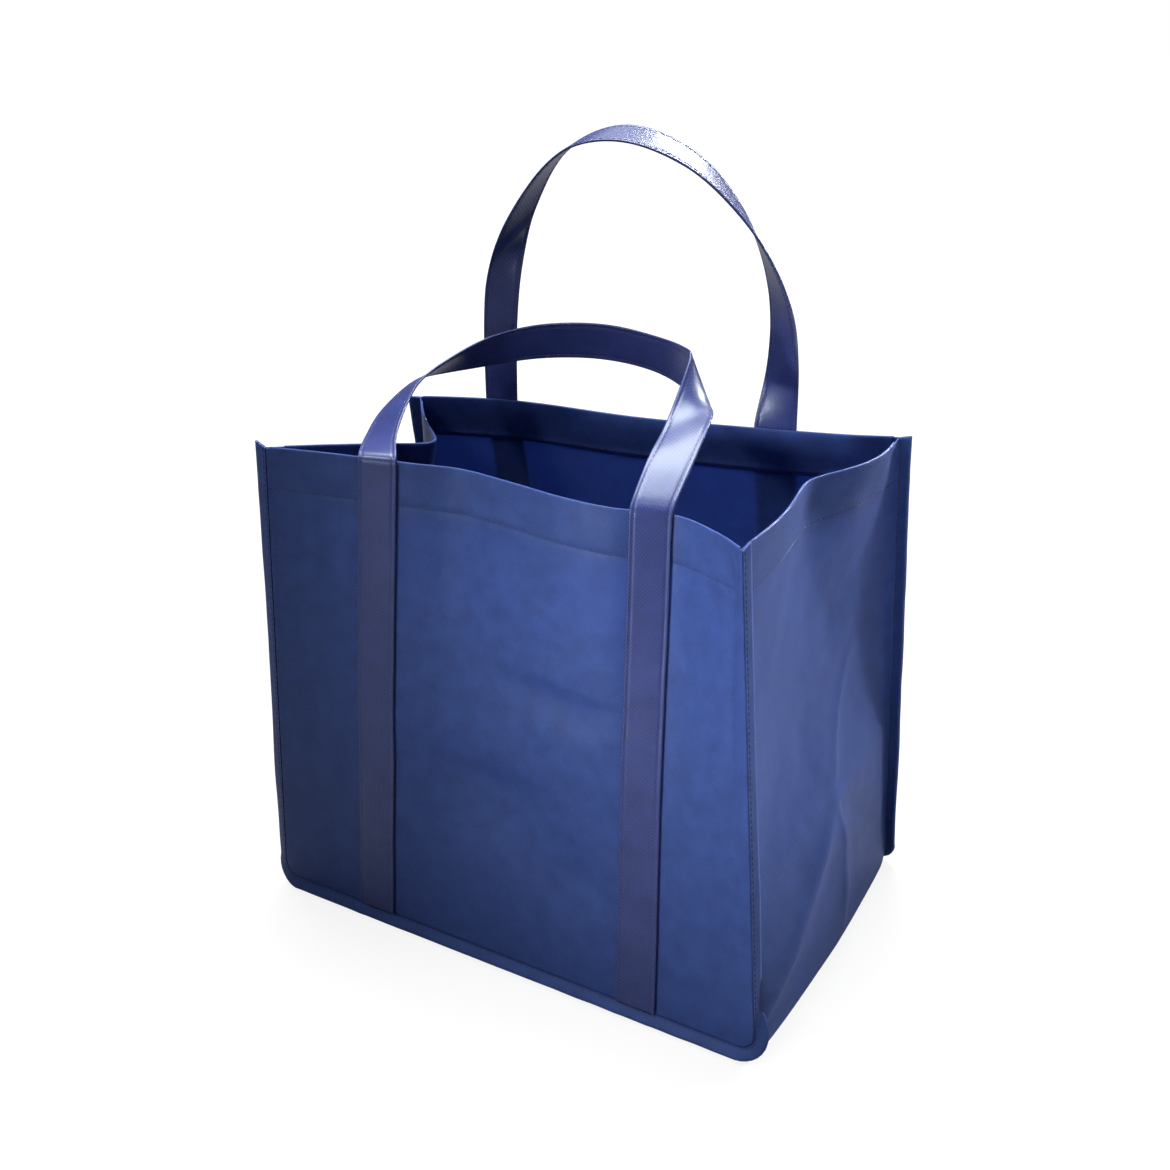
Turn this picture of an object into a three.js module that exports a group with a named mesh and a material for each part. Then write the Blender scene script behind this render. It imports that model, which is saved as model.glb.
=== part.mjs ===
// A non-woven shopping bag standing open, in millimetres, +Z up, its front panel facing -Y.
// The origin is the middle of the bag's underside.
import * as THREE from "three";

// Sizes of the bag.
const WIDTH = 326;
const DEPTH = 215;
const HEIGHT = 300;
const CLOTH = 0.6;
const LAYER_GAP = 0.3;
const HEM = 28;

// The seam allowance stands outside as a fin that leans over the side and splays out at the foot.
const FIN = 8;
const FIN_LEAN = 25;
const FIN_SPLAY = 30;
const FIN_TIP = 2.5;
const FIN_LIFT = 0.6;
const PANEL_ROUND = 10;
const FLOOR_ROUND = 6;
const FLOOR_DIP = 10;

// Each handle is one strap, sewn on the outside of its panel from the bottom seam to the rim.
const STRAP_WIDTH = 25;
const STRAP = 1.4;
const STRAP_SPACING = 180;
const STRAP_RIM_TURN = 3;
const LOOP_RISE = 160;

// The loose stiffening board on the floor of the bag.
const BOARD = 1;
const BOARD_INSET = 14;
const BOARD_ROUND = 5;

// The two ends of each panel's bottom seam, and the rim above it from left to right.
// Shares of half the width and half the depth. The gather is the cloth taken up at the left end of a rim.
const FRONT = {
  facing: -1,
  foot: [
    [-1.012, -0.975],
    [1.025, -1.055],
  ],
  rim: [
    [-0.933, -0.977],
    [-0.675, -0.88],
    [-0.405, -0.79],
    [-0.24, -0.72],
    [-0.05, -0.75],
    [0.184, -0.808],
    [0.368, -0.807],
    [0.564, -0.712],
    [0.748, -0.825],
    [0.871, -0.949],
  ],
  gather: 0,
};
const BACK = {
  facing: 1,
  foot: [
    [-1.0, 1.0],
    [0.99, 1.0],
  ],
  rim: [
    [-0.883, 0.335],
    [-0.479, 0.46],
    [0.018, 0.52],
    [0.472, 0.64],
    [0.779, 0.747],
    [0.937, 0.83],
  ],
  gather: 0.34,
};

// The upright crease of each side: its foot, the point where the slanting creases meet it, and its top.
// Shares of half the width, half the depth, and the height. The belly rounds the cloth beside the crease.
const RIGHT_CREASE = {
  foot: [1.006, 0.1],
  meet: [1.012, -0.04, 0.373],
  top: [0.819, -0.015, 1.0],
  belly: [5, 10.5],
};
const LEFT_CREASE = {
  foot: [-0.99, 0.0],
  meet: [-0.785, -0.167, 0.337],
  top: [-0.466, -0.4, 0.987],
  belly: [3, 4],
};
const FOOT_BELLY = 6;

// Where each loop passes: shares of half the width, half the depth and the loop's rise over the rim,
// then the direction across the strap, from its first edge to its second.
const FRONT_LOOP = [
  { at: [-0.613, -0.614, 0.025], across: [-23, 2, -6] },
  { at: [-0.672, -0.353, 0.075], across: [-23, 5, -10] },
  { at: [-0.69, -0.074, 0.12], across: [-15, 18, -7] },
  { at: [-0.654, 0.13, 0.144], across: [-15, 13, -16] },
  { at: [-0.556, 0.307, 0.18], across: [-10, 5, -22] },
  { at: [-0.356, 0.381, 0.236], across: [-5, 6, -23] },
  { at: [-0.092, 0.409, 0.268], across: [-5, 6, -24] },
  { at: [0.172, 0.335, 0.264], across: [-6, 6, -23] },
  { at: [0.395, 0.102, 0.254], across: [15, -3, -32], folded: true },
  { at: [0.444, -0.205, 0.18], across: [23, 9, 3] },
  { at: [0.475, -0.484, 0.113], across: [24, 9, 0] },
];
const REAR_LOOP = [
  { at: [-0.549, 0.43, 0.27], across: [25, -1, 3] },
  { at: [-0.525, 0.43, 0.48], across: [23, 4, 9] },
  { at: [-0.466, 0.465, 0.69], across: [10, 21, 9] },
  { at: [-0.305, 0.53, 0.93], across: [-8, 24, -2] },
  { at: [-0.098, 0.605, 1.0], across: [-6, 24, 5] },
  { at: [0.142, 0.69, 0.92], across: [-6, 24, 4] },
  { at: [0.319, 0.745, 0.75], across: [-8, 23, -2] },
  { at: [0.429, 0.755, 0.575], across: [-14, 20, -6] },
  { at: [0.496, 0.735, 0.4], across: [-20, 14, -4] },
  { at: [0.521, 0.69, 0.225], across: [-23, 8, -5] },
];

// Values that follow from the sizes.
const radians = THREE.MathUtils.degToRad;
const LAYER = CLOTH + LAYER_GAP;
const SEAM_HEIGHT = FIN * Math.cos(radians(FIN_SPLAY)) + LAYER + FIN_LIFT;
const PANEL_HEIGHT = HEIGHT - SEAM_HEIGHT;
const STRAP_OFF = CLOTH / 2 + LAYER_GAP + STRAP / 2;
const FLOOR_Z = CLOTH / 2;
const MEET_HEIGHT = RIGHT_CREASE.meet[2] * HEIGHT - SEAM_HEIGHT;

const CLOTH_COLOUR = 0x24346f;
const STRAP_COLOUR = 0x232c5c;
const BOARD_COLOUR = 0x2a2c33;
const CLOTH_ROUGHNESS = 0.75;
const STRAP_ROUGHNESS = 0.65;
const BOARD_ROUGHNESS = 0.5;

function point(x, y, z) {
  return new THREE.Vector3(x, y, z);
}

function shareToPoint(share, z) {
  return point((share[0] * WIDTH) / 2, (share[1] * DEPTH) / 2, z);
}

function between(a, b, share) {
  return a.clone().lerp(b, share);
}

function moved(from, direction, distance) {
  return from.clone().addScaledVector(direction, distance);
}

// A sheet of points and triangles that is given a thickness, so that it becomes one closed body.
class Sheet {
  constructor() {
    this.points = [];
    this.triangles = [];
  }

  add(p) {
    this.points.push(p);
    return this.points.length - 1;
  }

  quad(a, b, c, d, turned) {
    if (turned) {
      this.triangles.push([a, b, d], [b, c, d]);
    } else {
      this.triangles.push([a, b, c], [a, c, d]);
    }
  }

  solid(thickness) {
    const normals = this.points.map(() => point(0, 0, 0));
    const edges = new Map();
    for (const triangle of this.triangles) {
      const [a, b, c] = triangle.map((i) => this.points[i]);
      const normal = b.clone().sub(a).cross(c.clone().sub(a));
      normal.normalize();
      triangle.forEach((i, k) => {
        const here = this.points[i];
        const next = this.points[triangle[(k + 1) % 3]].clone().sub(here);
        const last = this.points[triangle[(k + 2) % 3]].clone().sub(here);
        normals[i].addScaledVector(normal, next.angleTo(last));
        const j = triangle[(k + 1) % 3];
        edges.set(i + "," + j, [i, j]);
      });
    }
    normals.forEach((n) => n.normalize());
    const count = this.points.length;
    const upper = this.points.map((p, i) => moved(p, normals[i], thickness / 2));
    const lower = this.points.map((p, i) => moved(p, normals[i], -thickness / 2));
    const index = [];
    for (const [a, b, c] of this.triangles) {
      index.push(a, b, c);
      index.push(count + a, count + c, count + b);
    }
    for (const [i, j] of edges.values()) {
      if (!edges.has(j + "," + i)) {
        index.push(j, i, count + i);
        index.push(j, count + i, count + j);
      }
    }
    const geometry = new THREE.BufferGeometry();
    geometry.setFromPoints([...upper, ...lower]);
    geometry.setIndex(index);
    geometry.computeVertexNormals();
    return geometry;
  }
}

// Columns of a panel, in shares of its half width: its edges, the lines of its straps and the cloth between.
const HALF_SPACING = STRAP_SPACING / 2;
const STRAP_LINES = [
  HALF_SPACING - STRAP_WIDTH / 2,
  HALF_SPACING,
  HALF_SPACING + STRAP_WIDTH / 2,
].map((x) => x / (WIDTH / 2));
const RIGHT_COLUMNS = [0.1, 0.21, 0.34, ...STRAP_LINES, 0.72, 0.82, 0.91, 0.98, 1];
const COLUMNS = [...RIGHT_COLUMNS.map((c) => -c).reverse(), 0, ...RIGHT_COLUMNS];

// Rows of a panel from the bottom seam up: its rounded corners, the lower side creases, the wall and the hem.
const ARC_STEPS = 4;
const MEET_STEPS = 6;
const WALL_STEPS = 6;
const HEM_STEPS = 2;

function panelRows() {
  const rows = [];
  for (let i = 0; i <= ARC_STEPS; i += 1) {
    const turn = (Math.PI / 2) * (i / ARC_STEPS);
    rows.push({
      height: PANEL_ROUND * (1 - Math.cos(turn)),
      half: WIDTH / 2 - PANEL_ROUND * (1 - Math.sin(turn)),
      turn,
    });
  }
  const wall = (height) => rows.push({ height, half: WIDTH / 2, turn: Math.PI / 2 });
  for (let i = 1; i <= MEET_STEPS; i += 1) {
    wall(THREE.MathUtils.lerp(PANEL_ROUND, MEET_HEIGHT, i / MEET_STEPS));
  }
  const hemStart = PANEL_HEIGHT - HEM;
  for (let i = 1; i <= WALL_STEPS; i += 1) {
    wall(THREE.MathUtils.lerp(MEET_HEIGHT, hemStart, i / WALL_STEPS));
  }
  for (let i = 1; i <= HEM_STEPS; i += 1) {
    wall(THREE.MathUtils.lerp(hemStart, PANEL_HEIGHT, i / HEM_STEPS));
  }
  return rows;
}

const ROWS = panelRows();
const TOP_ROW = ROWS.length - 1;

// Columns run straight up as far out as the straps; beyond them they close in on a rounded corner.
const STRAIGHT = 0.7;

function columnX(column, half) {
  const straight = (STRAIGHT * WIDTH) / 2;
  const x = (Math.abs(column) * WIDTH) / 2;
  const shrink = (half - straight) / (WIDTH / 2 - straight);
  const reach = x <= straight ? x : straight + (x - straight) * shrink;
  return Math.sign(column) * reach;
}

// How finely a rim is measured along its length, and how near a panel's directions are taken.
const RIM_DIVISIONS = 600;
const NEARBY = 2;

// A big panel: facing is -1 for the front and +1 for the back. Its upright lines are straight cloth.
class Panel {
  constructor({ facing, foot, rim, gather }) {
    this.facing = facing;
    this.gather = gather;
    this.foot = foot.map((share) => shareToPoint(share, SEAM_HEIGHT));
    const path = rim.map((share) => shareToPoint(share, 0));
    this.rim = new THREE.CatmullRomCurve3(path, false, "centripetal");
    this.rim.arcLengthDivisions = RIM_DIVISIONS;
  }

  at(x, height) {
    const share = THREE.MathUtils.clamp(x / WIDTH + 0.5, 0, 1);
    const low = between(this.foot[0], this.foot[1], share);
    const top = this.rim.getPointAt(share - this.gather * share * (1 - share) ** 2);
    const sway = Math.hypot(top.x - low.x, top.y - low.y);
    top.z = SEAM_HEIGHT + Math.sqrt(PANEL_HEIGHT ** 2 - sway ** 2);
    return low.lerp(top, height / PANEL_HEIGHT);
  }

  frame(x, height) {
    const left = Math.max(x - NEARBY, -WIDTH / 2);
    const right = Math.min(x + NEARBY, WIDTH / 2);
    const along = this.at(right, height).sub(this.at(left, height)).normalize();
    const up = this.at(x, height + NEARBY).sub(this.at(x, height)).normalize();
    const inward = up.clone().cross(along).multiplyScalar(-this.facing).normalize();
    return { along, up, inward };
  }

  // One place on the seam: the fin's direction, the way to its inner layer, and the corner of the side cloth.
  seam(place) {
    const here = this.at(place.x, place.height);
    const { along, up, inward } = this.frame(place.x, place.height);
    const out = along.multiplyScalar(place.out[0]).addScaledVector(up, place.out[1]).normalize();
    const fin = moved(out.clone().multiplyScalar(Math.cos(place.lean)), inward, Math.sin(place.lean));
    const inner = moved(inward.clone().multiplyScalar(Math.cos(place.lean)), out, -Math.sin(place.lean));
    const corner = moved(moved(here, inward, LAYER), out, -LAYER * Math.tan(place.lean / 2));
    const nearTop = Math.max(0, 1 - (PANEL_HEIGHT - place.height) / HEM);
    const tip = point(0, 0, FIN_TIP * nearTop ** 2);
    return { here, fin, inner, corner, tip };
  }
}

// The seam's path round a panel: down its left edge, along its bottom and up its right edge.
function seamPlaces() {
  const places = [];
  const side = (row, hand) => {
    const { height, half, turn } = ROWS[row];
    const share = turn / (Math.PI / 2);
    places.push({
      x: hand * half,
      height,
      out: [hand * Math.sin(turn), -Math.cos(turn)],
      lean: radians(THREE.MathUtils.lerp(-FIN_SPLAY, FIN_LEAN, share)),
      row,
      hand,
    });
  };
  for (let row = TOP_ROW; row >= 1; row -= 1) {
    side(row, -1);
  }
  COLUMNS.forEach((column) => {
    places.push({
      x: columnX(column, ROWS[0].half),
      height: 0,
      out: [0, -1],
      lean: -radians(FIN_SPLAY),
      row: 0,
      column,
    });
  });
  for (let row = 1; row <= TOP_ROW; row += 1) {
    side(row, 1);
  }
  return places;
}

const SEAM = seamPlaces();
const FIN_STEPS = [1];
const RIM_TURNS = [60, 120];

// The hem inside starts this many columns from a seam, clear of the neighbour's hem.
const HEM_START = 2;

// The rim of a cloth turns over in a half circle and its hem hangs inside.
function hemRows(outerAt, inwardAt) {
  const rows = [];
  const radius = LAYER / 2;
  for (const degrees of RIM_TURNS) {
    const turn = radians(degrees);
    rows.push((key) => {
      const p = moved(outerAt(TOP_ROW, key), inwardAt(TOP_ROW, key), radius * (1 - Math.cos(turn)));
      p.z += radius * Math.sin(turn);
      return p;
    });
  }
  for (let step = 0; step <= HEM_STEPS; step += 1) {
    const row = TOP_ROW - step;
    rows.push((key) => moved(outerAt(row, key), inwardAt(row, key), LAYER));
  }
  return rows;
}

function panelSheet(panel) {
  const sheet = new Sheet();
  const outerAt = (row, column) => panel.at(columnX(column, ROWS[row].half), ROWS[row].height);
  const inwardAt = (row, column) => {
    return panel.frame(columnX(column, ROWS[row].half), ROWS[row].height).inward;
  };
  const grid = ROWS.map((_, row) => COLUMNS.map((column) => sheet.add(outerAt(row, column))));
  const last = COLUMNS.length - 1;
  const inside = COLUMNS.slice(HEM_START, -HEM_START);
  let below = grid[TOP_ROW].slice(HEM_START, -HEM_START);
  const strips = [];
  for (let row = 0; row < TOP_ROW; row += 1) {
    strips.push([grid[row], grid[row + 1]]);
  }
  for (const place of hemRows(outerAt, inwardAt)) {
    const next = inside.map((column) => sheet.add(place(column)));
    strips.push([below, next]);
    below = next;
  }
  for (const [low, high] of strips) {
    for (let i = 0; i + 1 < low.length; i += 1) {
      sheet.quad(low[i], low[i + 1], high[i + 1], high[i], i % 2 === 0);
    }
  }
  const edge = SEAM.map((place) => {
    if (place.row === 0) {
      return grid[0][COLUMNS.indexOf(place.column)];
    }
    return grid[place.row][place.hand < 0 ? 0 : last];
  });
  let inner = edge;
  for (const step of FIN_STEPS) {
    const outer = SEAM.map((place) => {
      const seam = panel.seam(place);
      return sheet.add(moved(seam.here, seam.fin, FIN * step).addScaledVector(seam.tip, step));
    });
    for (let i = 0; i + 1 < outer.length; i += 1) {
      sheet.quad(inner[i], outer[i], outer[i + 1], inner[i + 1], false);
    }
    inner = outer;
  }
  return sheet;
}

// Shares of the cloth from a seam to the upright crease.
const CREASE_STEPS = Array.from({ length: MEET_STEPS }, (_, i) => (i + 1) / MEET_STEPS);
const NEAR_SEAM_STEPS = [0, 0.035, 0.1];
const CLOTH_STEPS = [...NEAR_SEAM_STEPS, ...CREASE_STEPS];

// One piece of cloth makes the left side, the floor and the right side.
function sideAndFloorSheet(front, back) {
  const sheet = new Sheet();
  const corners = SEAM.map((place) => [front.seam(place), back.seam(place)]);
  const startOf = (hand) => SEAM.findIndex((p) => p.hand === hand && p.row === ARC_STEPS);
  const starts = { "-1": corners[startOf(-1)], 1: corners[startOf(1)] };

  function creaseAt(crease, height) {
    const foot = shareToPoint(crease.foot, FLOOR_ROUND);
    const meet = shareToPoint(crease.meet, crease.meet[2] * HEIGHT);
    const top = shareToPoint(crease.top, crease.top[2] * HEIGHT);
    if (height <= MEET_HEIGHT) {
      return between(foot, meet, (height - PANEL_ROUND) / (MEET_HEIGHT - PANEL_ROUND));
    }
    return between(meet, top, (height - MEET_HEIGHT) / (PANEL_HEIGHT - MEET_HEIGHT));
  }

  // The cloth of a side stands out a little over the floor's edge.
  function footBelly(share) {
    return FOOT_BELLY * Math.sqrt(Math.sin((Math.PI / 2) * share));
  }

  // Cloth of one half of a side, at a share of the way from its seam to the crease.
  function wallAt(station, half, share) {
    const place = SEAM[station];
    const crease = place.hand > 0 ? RIGHT_CREASE : LEFT_CREASE;
    const seam = corners[station][half].corner;
    const fold = creaseAt(crease, place.height);
    if (place.height <= MEET_HEIGHT) {
      const rise = (place.height - PANEL_ROUND) / (MEET_HEIGHT - PANEL_ROUND);
      const meet = shareToPoint(crease.meet, crease.meet[2] * HEIGHT);
      const slant = between(starts[place.hand][half].corner, meet, rise);
      const belly = point(place.hand * footBelly(share) * (1 - rise), 0, 0);
      if (share < rise) {
        return between(seam, slant, share / rise).add(belly);
      }
      return rise === 1 ? slant : between(slant, fold, (share - rise) / (1 - rise)).add(belly);
    }
    const rise = (place.height - MEET_HEIGHT) / (PANEL_HEIGHT - MEET_HEIGHT);
    const belly = crease.belly[half] * Math.sin(Math.PI * share) * rise;
    return between(seam, fold, share).add(point(place.hand * belly, 0, 0));
  }

  // Where the floor ends at the left or right, at a share of the way from a seam to the middle.
  function edgeAt(hand, half, share) {
    const end = hand < 0 ? 0 : 1;
    const feet = [front.foot[end], back.foot[end]];
    return THREE.MathUtils.lerp(feet[half].x, feet[1 - half].x, share / 2);
  }

  function floorAt(station, half, share) {
    const place = SEAM[station];
    const own = corners[station][half].corner;
    const other = corners[station][1 - half].corner;
    const y = THREE.MathUtils.lerp(own.y, other.y, share / 2);
    const lift = Math.max(0, 1 - Math.abs(y - own.y) / FLOOR_DIP);
    const round = THREE.MathUtils.lerp(FLOOR_ROUND, PANEL_ROUND, lift);
    const level = THREE.MathUtils.lerp(FLOOR_Z, own.z, lift);
    if (place.row === 0) {
      const left = edgeAt(-1, half, share);
      const right = edgeAt(1, half, share);
      const along = columnX(place.column, WIDTH / 2 - round) / WIDTH + 0.5;
      return point(THREE.MathUtils.lerp(left, right, along), y, level);
    }
    const turn = ROWS[place.row].turn;
    const belly = footBelly(share) * (1 - Math.cos(turn));
    const edge = edgeAt(place.hand, half, share);
    const x = place.hand * edge - round * (1 - Math.sin(turn)) + belly;
    const base = THREE.MathUtils.lerp(FLOOR_Z, SEAM_HEIGHT, lift);
    return point(place.hand * x, y, base + round * (1 - Math.cos(turn)));
  }

  function clothAt(station, key) {
    const place = SEAM[station];
    const [half, share] = key;
    if (share === 0) {
      return corners[station][half].corner.clone();
    }
    if (place.row <= ARC_STEPS) {
      return floorAt(station, half, share);
    }
    return wallAt(station, half, share);
  }

  const keys = [
    ...CLOTH_STEPS.map((share) => [0, share]),
    ...CLOTH_STEPS.slice(0, -1)
      .reverse()
      .map((share) => [1, share]),
  ];
  const finAt = (station, half, step) => {
    const seam = corners[station][half];
    const p = moved(seam.here, seam.fin, FIN * step).addScaledVector(seam.tip, step);
    return p.addScaledVector(seam.inner, LAYER);
  };
  const grid = SEAM.map((_, station) => [
    ...[...FIN_STEPS].reverse().map((step) => sheet.add(finAt(station, 0, step))),
    ...keys.map((key) => sheet.add(clothAt(station, key))),
    ...FIN_STEPS.map((step) => sheet.add(finAt(station, 1, step))),
  ]);
  const fins = FIN_STEPS.length;
  const middle = fins + CLOTH_STEPS.length - 1;
  const strip = (low, high, flip) => {
    for (let i = 0; i + 1 < low.length; i += 1) {
      sheet.quad(low[i], high[i], high[i + 1], low[i + 1], flip(i));
    }
  };
  for (let station = 0; station + 1 < grid.length; station += 1) {
    const goesUp = SEAM[station + 1].hand === 1;
    strip(grid[station], grid[station + 1], (i) => {
      const isFin = i < fins || i >= fins + keys.length - 1;
      return i < middle === (isFin || !goesUp);
    });
  }

  // Both ends of this piece are the rims of the sides.
  for (const hand of [-1, 1]) {
    const stationOf = (row) => SEAM.findIndex((p) => p.hand === hand && p.row === row);
    const skipped = HEM_START + 1;
    const inside = keys.slice(skipped, -skipped);
    const outerAt = (row, i) => clothAt(stationOf(row), inside[i]);
    const inwardAt = (row, i) => {
      const before = clothAt(stationOf(row), keys[i + skipped - 1]);
      const after = clothAt(stationOf(row), keys[i + skipped + 1]);
      const across = after.sub(before).normalize();
      const up = outerAt(TOP_ROW, i).sub(outerAt(TOP_ROW - 1, i)).normalize();
      return across.cross(up).multiplyScalar(-hand).normalize();
    };
    let low = grid[stationOf(TOP_ROW)].slice(fins + skipped, fins + keys.length - skipped);
    for (const place of hemRows(outerAt, inwardAt)) {
      const high = inside.map((_, i) => sheet.add(place(i)));
      if (hand > 0) {
        strip(low, high, () => false);
      } else {
        strip(high, low, () => false);
      }
      low = high;
    }
  }
  return sheet;
}

// A strap goes up one side of its panel, through its loop and down the other side.
const LOOP_STEPS = 4;

function strapSheet(panel, loop) {
  const sewnRow = (column, row) => {
    const { height, half } = ROWS[row];
    const x = columnX(column, half);
    return moved(panel.at(x, height), panel.frame(x, height).inward, -STRAP_OFF);
  };
  const lines = [];
  const leftLines = STRAP_LINES.map((c) => -c).reverse();
  const order = panel.facing > 0 ? leftLines : [...leftLines].reverse();
  for (let row = 1; row <= TOP_ROW; row += 1) {
    lines.push(order.map((column) => sewnRow(column, row)));
  }
  const rimTurn = (sewn) => sewn.map((p) => moved(p, point(0, 0, 1), STRAP_RIM_TURN));
  const rightOrder = order.map((c) => -c);
  const left = rimTurn(lines[lines.length - 1]);
  const right = rimTurn(rightOrder.map((column) => sewnRow(column, TOP_ROW)));

  const stations = loop.map(({ at, across, folded }) => {
    const middle = shareToPoint(at, HEIGHT + at[2] * LOOP_RISE);
    const half = point(...across).normalize();
    const reach = (STRAP_WIDTH / 2) * (folded ? Math.SQRT2 : 1);
    return [moved(middle, half, -reach), moved(middle, half, reach), folded];
  });
  const all = [[left[0], left[2]], ...stations, [right[0], right[2]]];
  const spans = [];
  let span = [];
  for (const station of all) {
    span.push(station);
    if (station[2]) {
      spans.push(span);
      span = [station];
    }
  }
  spans.push(span);
  spans.forEach((part, n) => {
    const first = new THREE.CatmullRomCurve3(part.map((s) => s[0]), false, "centripetal");
    const second = new THREE.CatmullRomCurve3(part.map((s) => s[1]), false, "centripetal");
    const steps = (part.length - 1) * LOOP_STEPS;
    for (let i = n === 0 ? 0 : 1; i <= steps; i += 1) {
      const a = first.getPoint(i / steps);
      const b = second.getPoint(i / steps);
      lines.push([a, between(a, b, 0.5), b]);
    }
  });
  for (let row = TOP_ROW; row >= 1; row -= 1) {
    lines.push(rightOrder.map((column) => sewnRow(column, row)));
  }

  const sheet = new Sheet();
  const grid = lines.map((line) => line.map((p) => sheet.add(p)));
  for (let row = 0; row + 1 < grid.length; row += 1) {
    for (let i = 0; i < 2; i += 1) {
      sheet.quad(grid[row][i], grid[row][i + 1], grid[row + 1][i + 1], grid[row + 1][i], false);
    }
  }
  return sheet;
}

function boardGeometry() {
  const half = WIDTH / 2 - BOARD_INSET;
  const deep = DEPTH / 2 - BOARD_INSET;
  const outline = new THREE.Shape();
  outline.moveTo(-half + BOARD_ROUND, -deep);
  outline.absarc(half - BOARD_ROUND, -deep + BOARD_ROUND, BOARD_ROUND, -Math.PI / 2, 0);
  outline.absarc(half - BOARD_ROUND, deep - BOARD_ROUND, BOARD_ROUND, 0, Math.PI / 2);
  outline.absarc(-half + BOARD_ROUND, deep - BOARD_ROUND, BOARD_ROUND, Math.PI / 2, Math.PI);
  outline.absarc(-half + BOARD_ROUND, -deep + BOARD_ROUND, BOARD_ROUND, Math.PI, 1.5 * Math.PI);
  const board = new THREE.ExtrudeGeometry(outline, {
    depth: BOARD,
    bevelEnabled: false,
    curveSegments: ARC_STEPS,
  });
  return board.translate(0, 0, CLOTH + LAYER_GAP);
}

function piece(name, geometry, colour, roughness) {
  const material = new THREE.MeshStandardMaterial({ color: colour, roughness });
  const mesh = new THREE.Mesh(geometry, material);
  mesh.name = name;
  return mesh;
}

const front = new Panel(FRONT);
const back = new Panel(BACK);
const bag = new THREE.Group();
bag.name = "non_woven_shopping_bag";
bag.add(piece("front_panel", panelSheet(front).solid(CLOTH), CLOTH_COLOUR, CLOTH_ROUGHNESS));
bag.add(piece("back_panel", panelSheet(back).solid(CLOTH), CLOTH_COLOUR, CLOTH_ROUGHNESS));
const sides = sideAndFloorSheet(front, back).solid(CLOTH);
bag.add(piece("side_and_floor", sides, CLOTH_COLOUR, CLOTH_ROUGHNESS));
const frontStrap = strapSheet(front, FRONT_LOOP).solid(STRAP);
bag.add(piece("front_handle", frontStrap, STRAP_COLOUR, STRAP_ROUGHNESS));
const rearStrap = strapSheet(back, REAR_LOOP).solid(STRAP);
bag.add(piece("rear_handle", rearStrap, STRAP_COLOUR, STRAP_ROUGHNESS));
bag.add(piece("bottom_board", boardGeometry(), BOARD_COLOUR, BOARD_ROUGHNESS));

export default bag;
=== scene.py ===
"""The looks of a non-woven shopping bag: its cloth, straps, sewing and board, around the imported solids."""
import math

import bpy
import numpy as np
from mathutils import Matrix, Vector


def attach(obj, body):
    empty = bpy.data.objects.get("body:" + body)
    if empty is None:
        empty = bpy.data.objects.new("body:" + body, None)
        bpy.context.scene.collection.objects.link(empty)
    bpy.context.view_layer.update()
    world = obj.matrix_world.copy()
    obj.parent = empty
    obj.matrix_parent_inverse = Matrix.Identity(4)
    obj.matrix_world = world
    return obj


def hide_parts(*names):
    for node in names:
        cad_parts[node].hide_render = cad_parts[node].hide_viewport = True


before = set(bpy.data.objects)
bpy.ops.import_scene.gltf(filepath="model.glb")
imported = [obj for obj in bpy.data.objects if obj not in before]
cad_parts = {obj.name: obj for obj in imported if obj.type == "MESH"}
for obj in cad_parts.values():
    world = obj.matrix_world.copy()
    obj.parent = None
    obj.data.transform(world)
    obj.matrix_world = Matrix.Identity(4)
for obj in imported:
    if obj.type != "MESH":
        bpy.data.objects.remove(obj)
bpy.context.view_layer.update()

# Sizes of the bag in millimetres and degrees, the same as those of its solids.
MM = 0.001
WIDTH = 326
DEPTH = 215
HEIGHT = 300
CLOTH = 0.6
LAYER_GAP = 0.3
HEM = 28
FIN = 8
FIN_LEAN = 25
FIN_SPLAY = 30
FIN_TIP = 2.5
FIN_LIFT = 0.6
PANEL_ROUND = 10
FLOOR_ROUND = 6
FLOOR_DIP = 10
STRAP_WIDTH = 25
STRAP = 1.4
STRAP_SPACING = 180
STRAP_RIM_TURN = 3
LOOP_RISE = 160
FOOT_BELLY = 6

# The front fin on the right lies folded back along the side: the heights between which it turns back,
# and the angle that stays open.
FOLD_FROM = 10
FOLD_TO = 26
FOLD_OPEN = 11

# A fin sways by some degrees and its cut edge wanders: how far, and over what length.
FIN_SWAY = 4
FIN_SWAY_LENGTH = 38
FIN_CUT = 0.15
FIN_CUT_LENGTH = 14

# Sewing: how far each line of stitches lies from the edge beside it, and the size of one stitch.
HEM_STITCH = 25
STRAP_STITCH = 2.6
SEAM_STITCH = 1.6
STITCH_PITCH = 3.6
STITCH_LENGTH = 2.9
THREAD = 0.42

# Values that follow from the sizes.
LAYER = CLOTH + LAYER_GAP
SEAM_HEIGHT = FIN * math.cos(math.radians(FIN_SPLAY)) + LAYER + FIN_LIFT
PANEL_HEIGHT = HEIGHT - SEAM_HEIGHT
STRAP_OFF = CLOTH / 2 + LAYER_GAP + STRAP / 2
FLOOR_Z = CLOTH / 2
HALF_WIDTH = WIDTH / 2
HALF_DEPTH = DEPTH / 2
HALF_STRAP = STRAP_WIDTH / 2
HALF_SPACING = STRAP_SPACING / 2
STITCH_OFFSET = HALF_STRAP - STRAP_STITCH
STRAP_LINES = [side * HALF_SPACING + edge * STITCH_OFFSET for side in (-1, 1) for edge in (-1, 1)]

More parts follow.
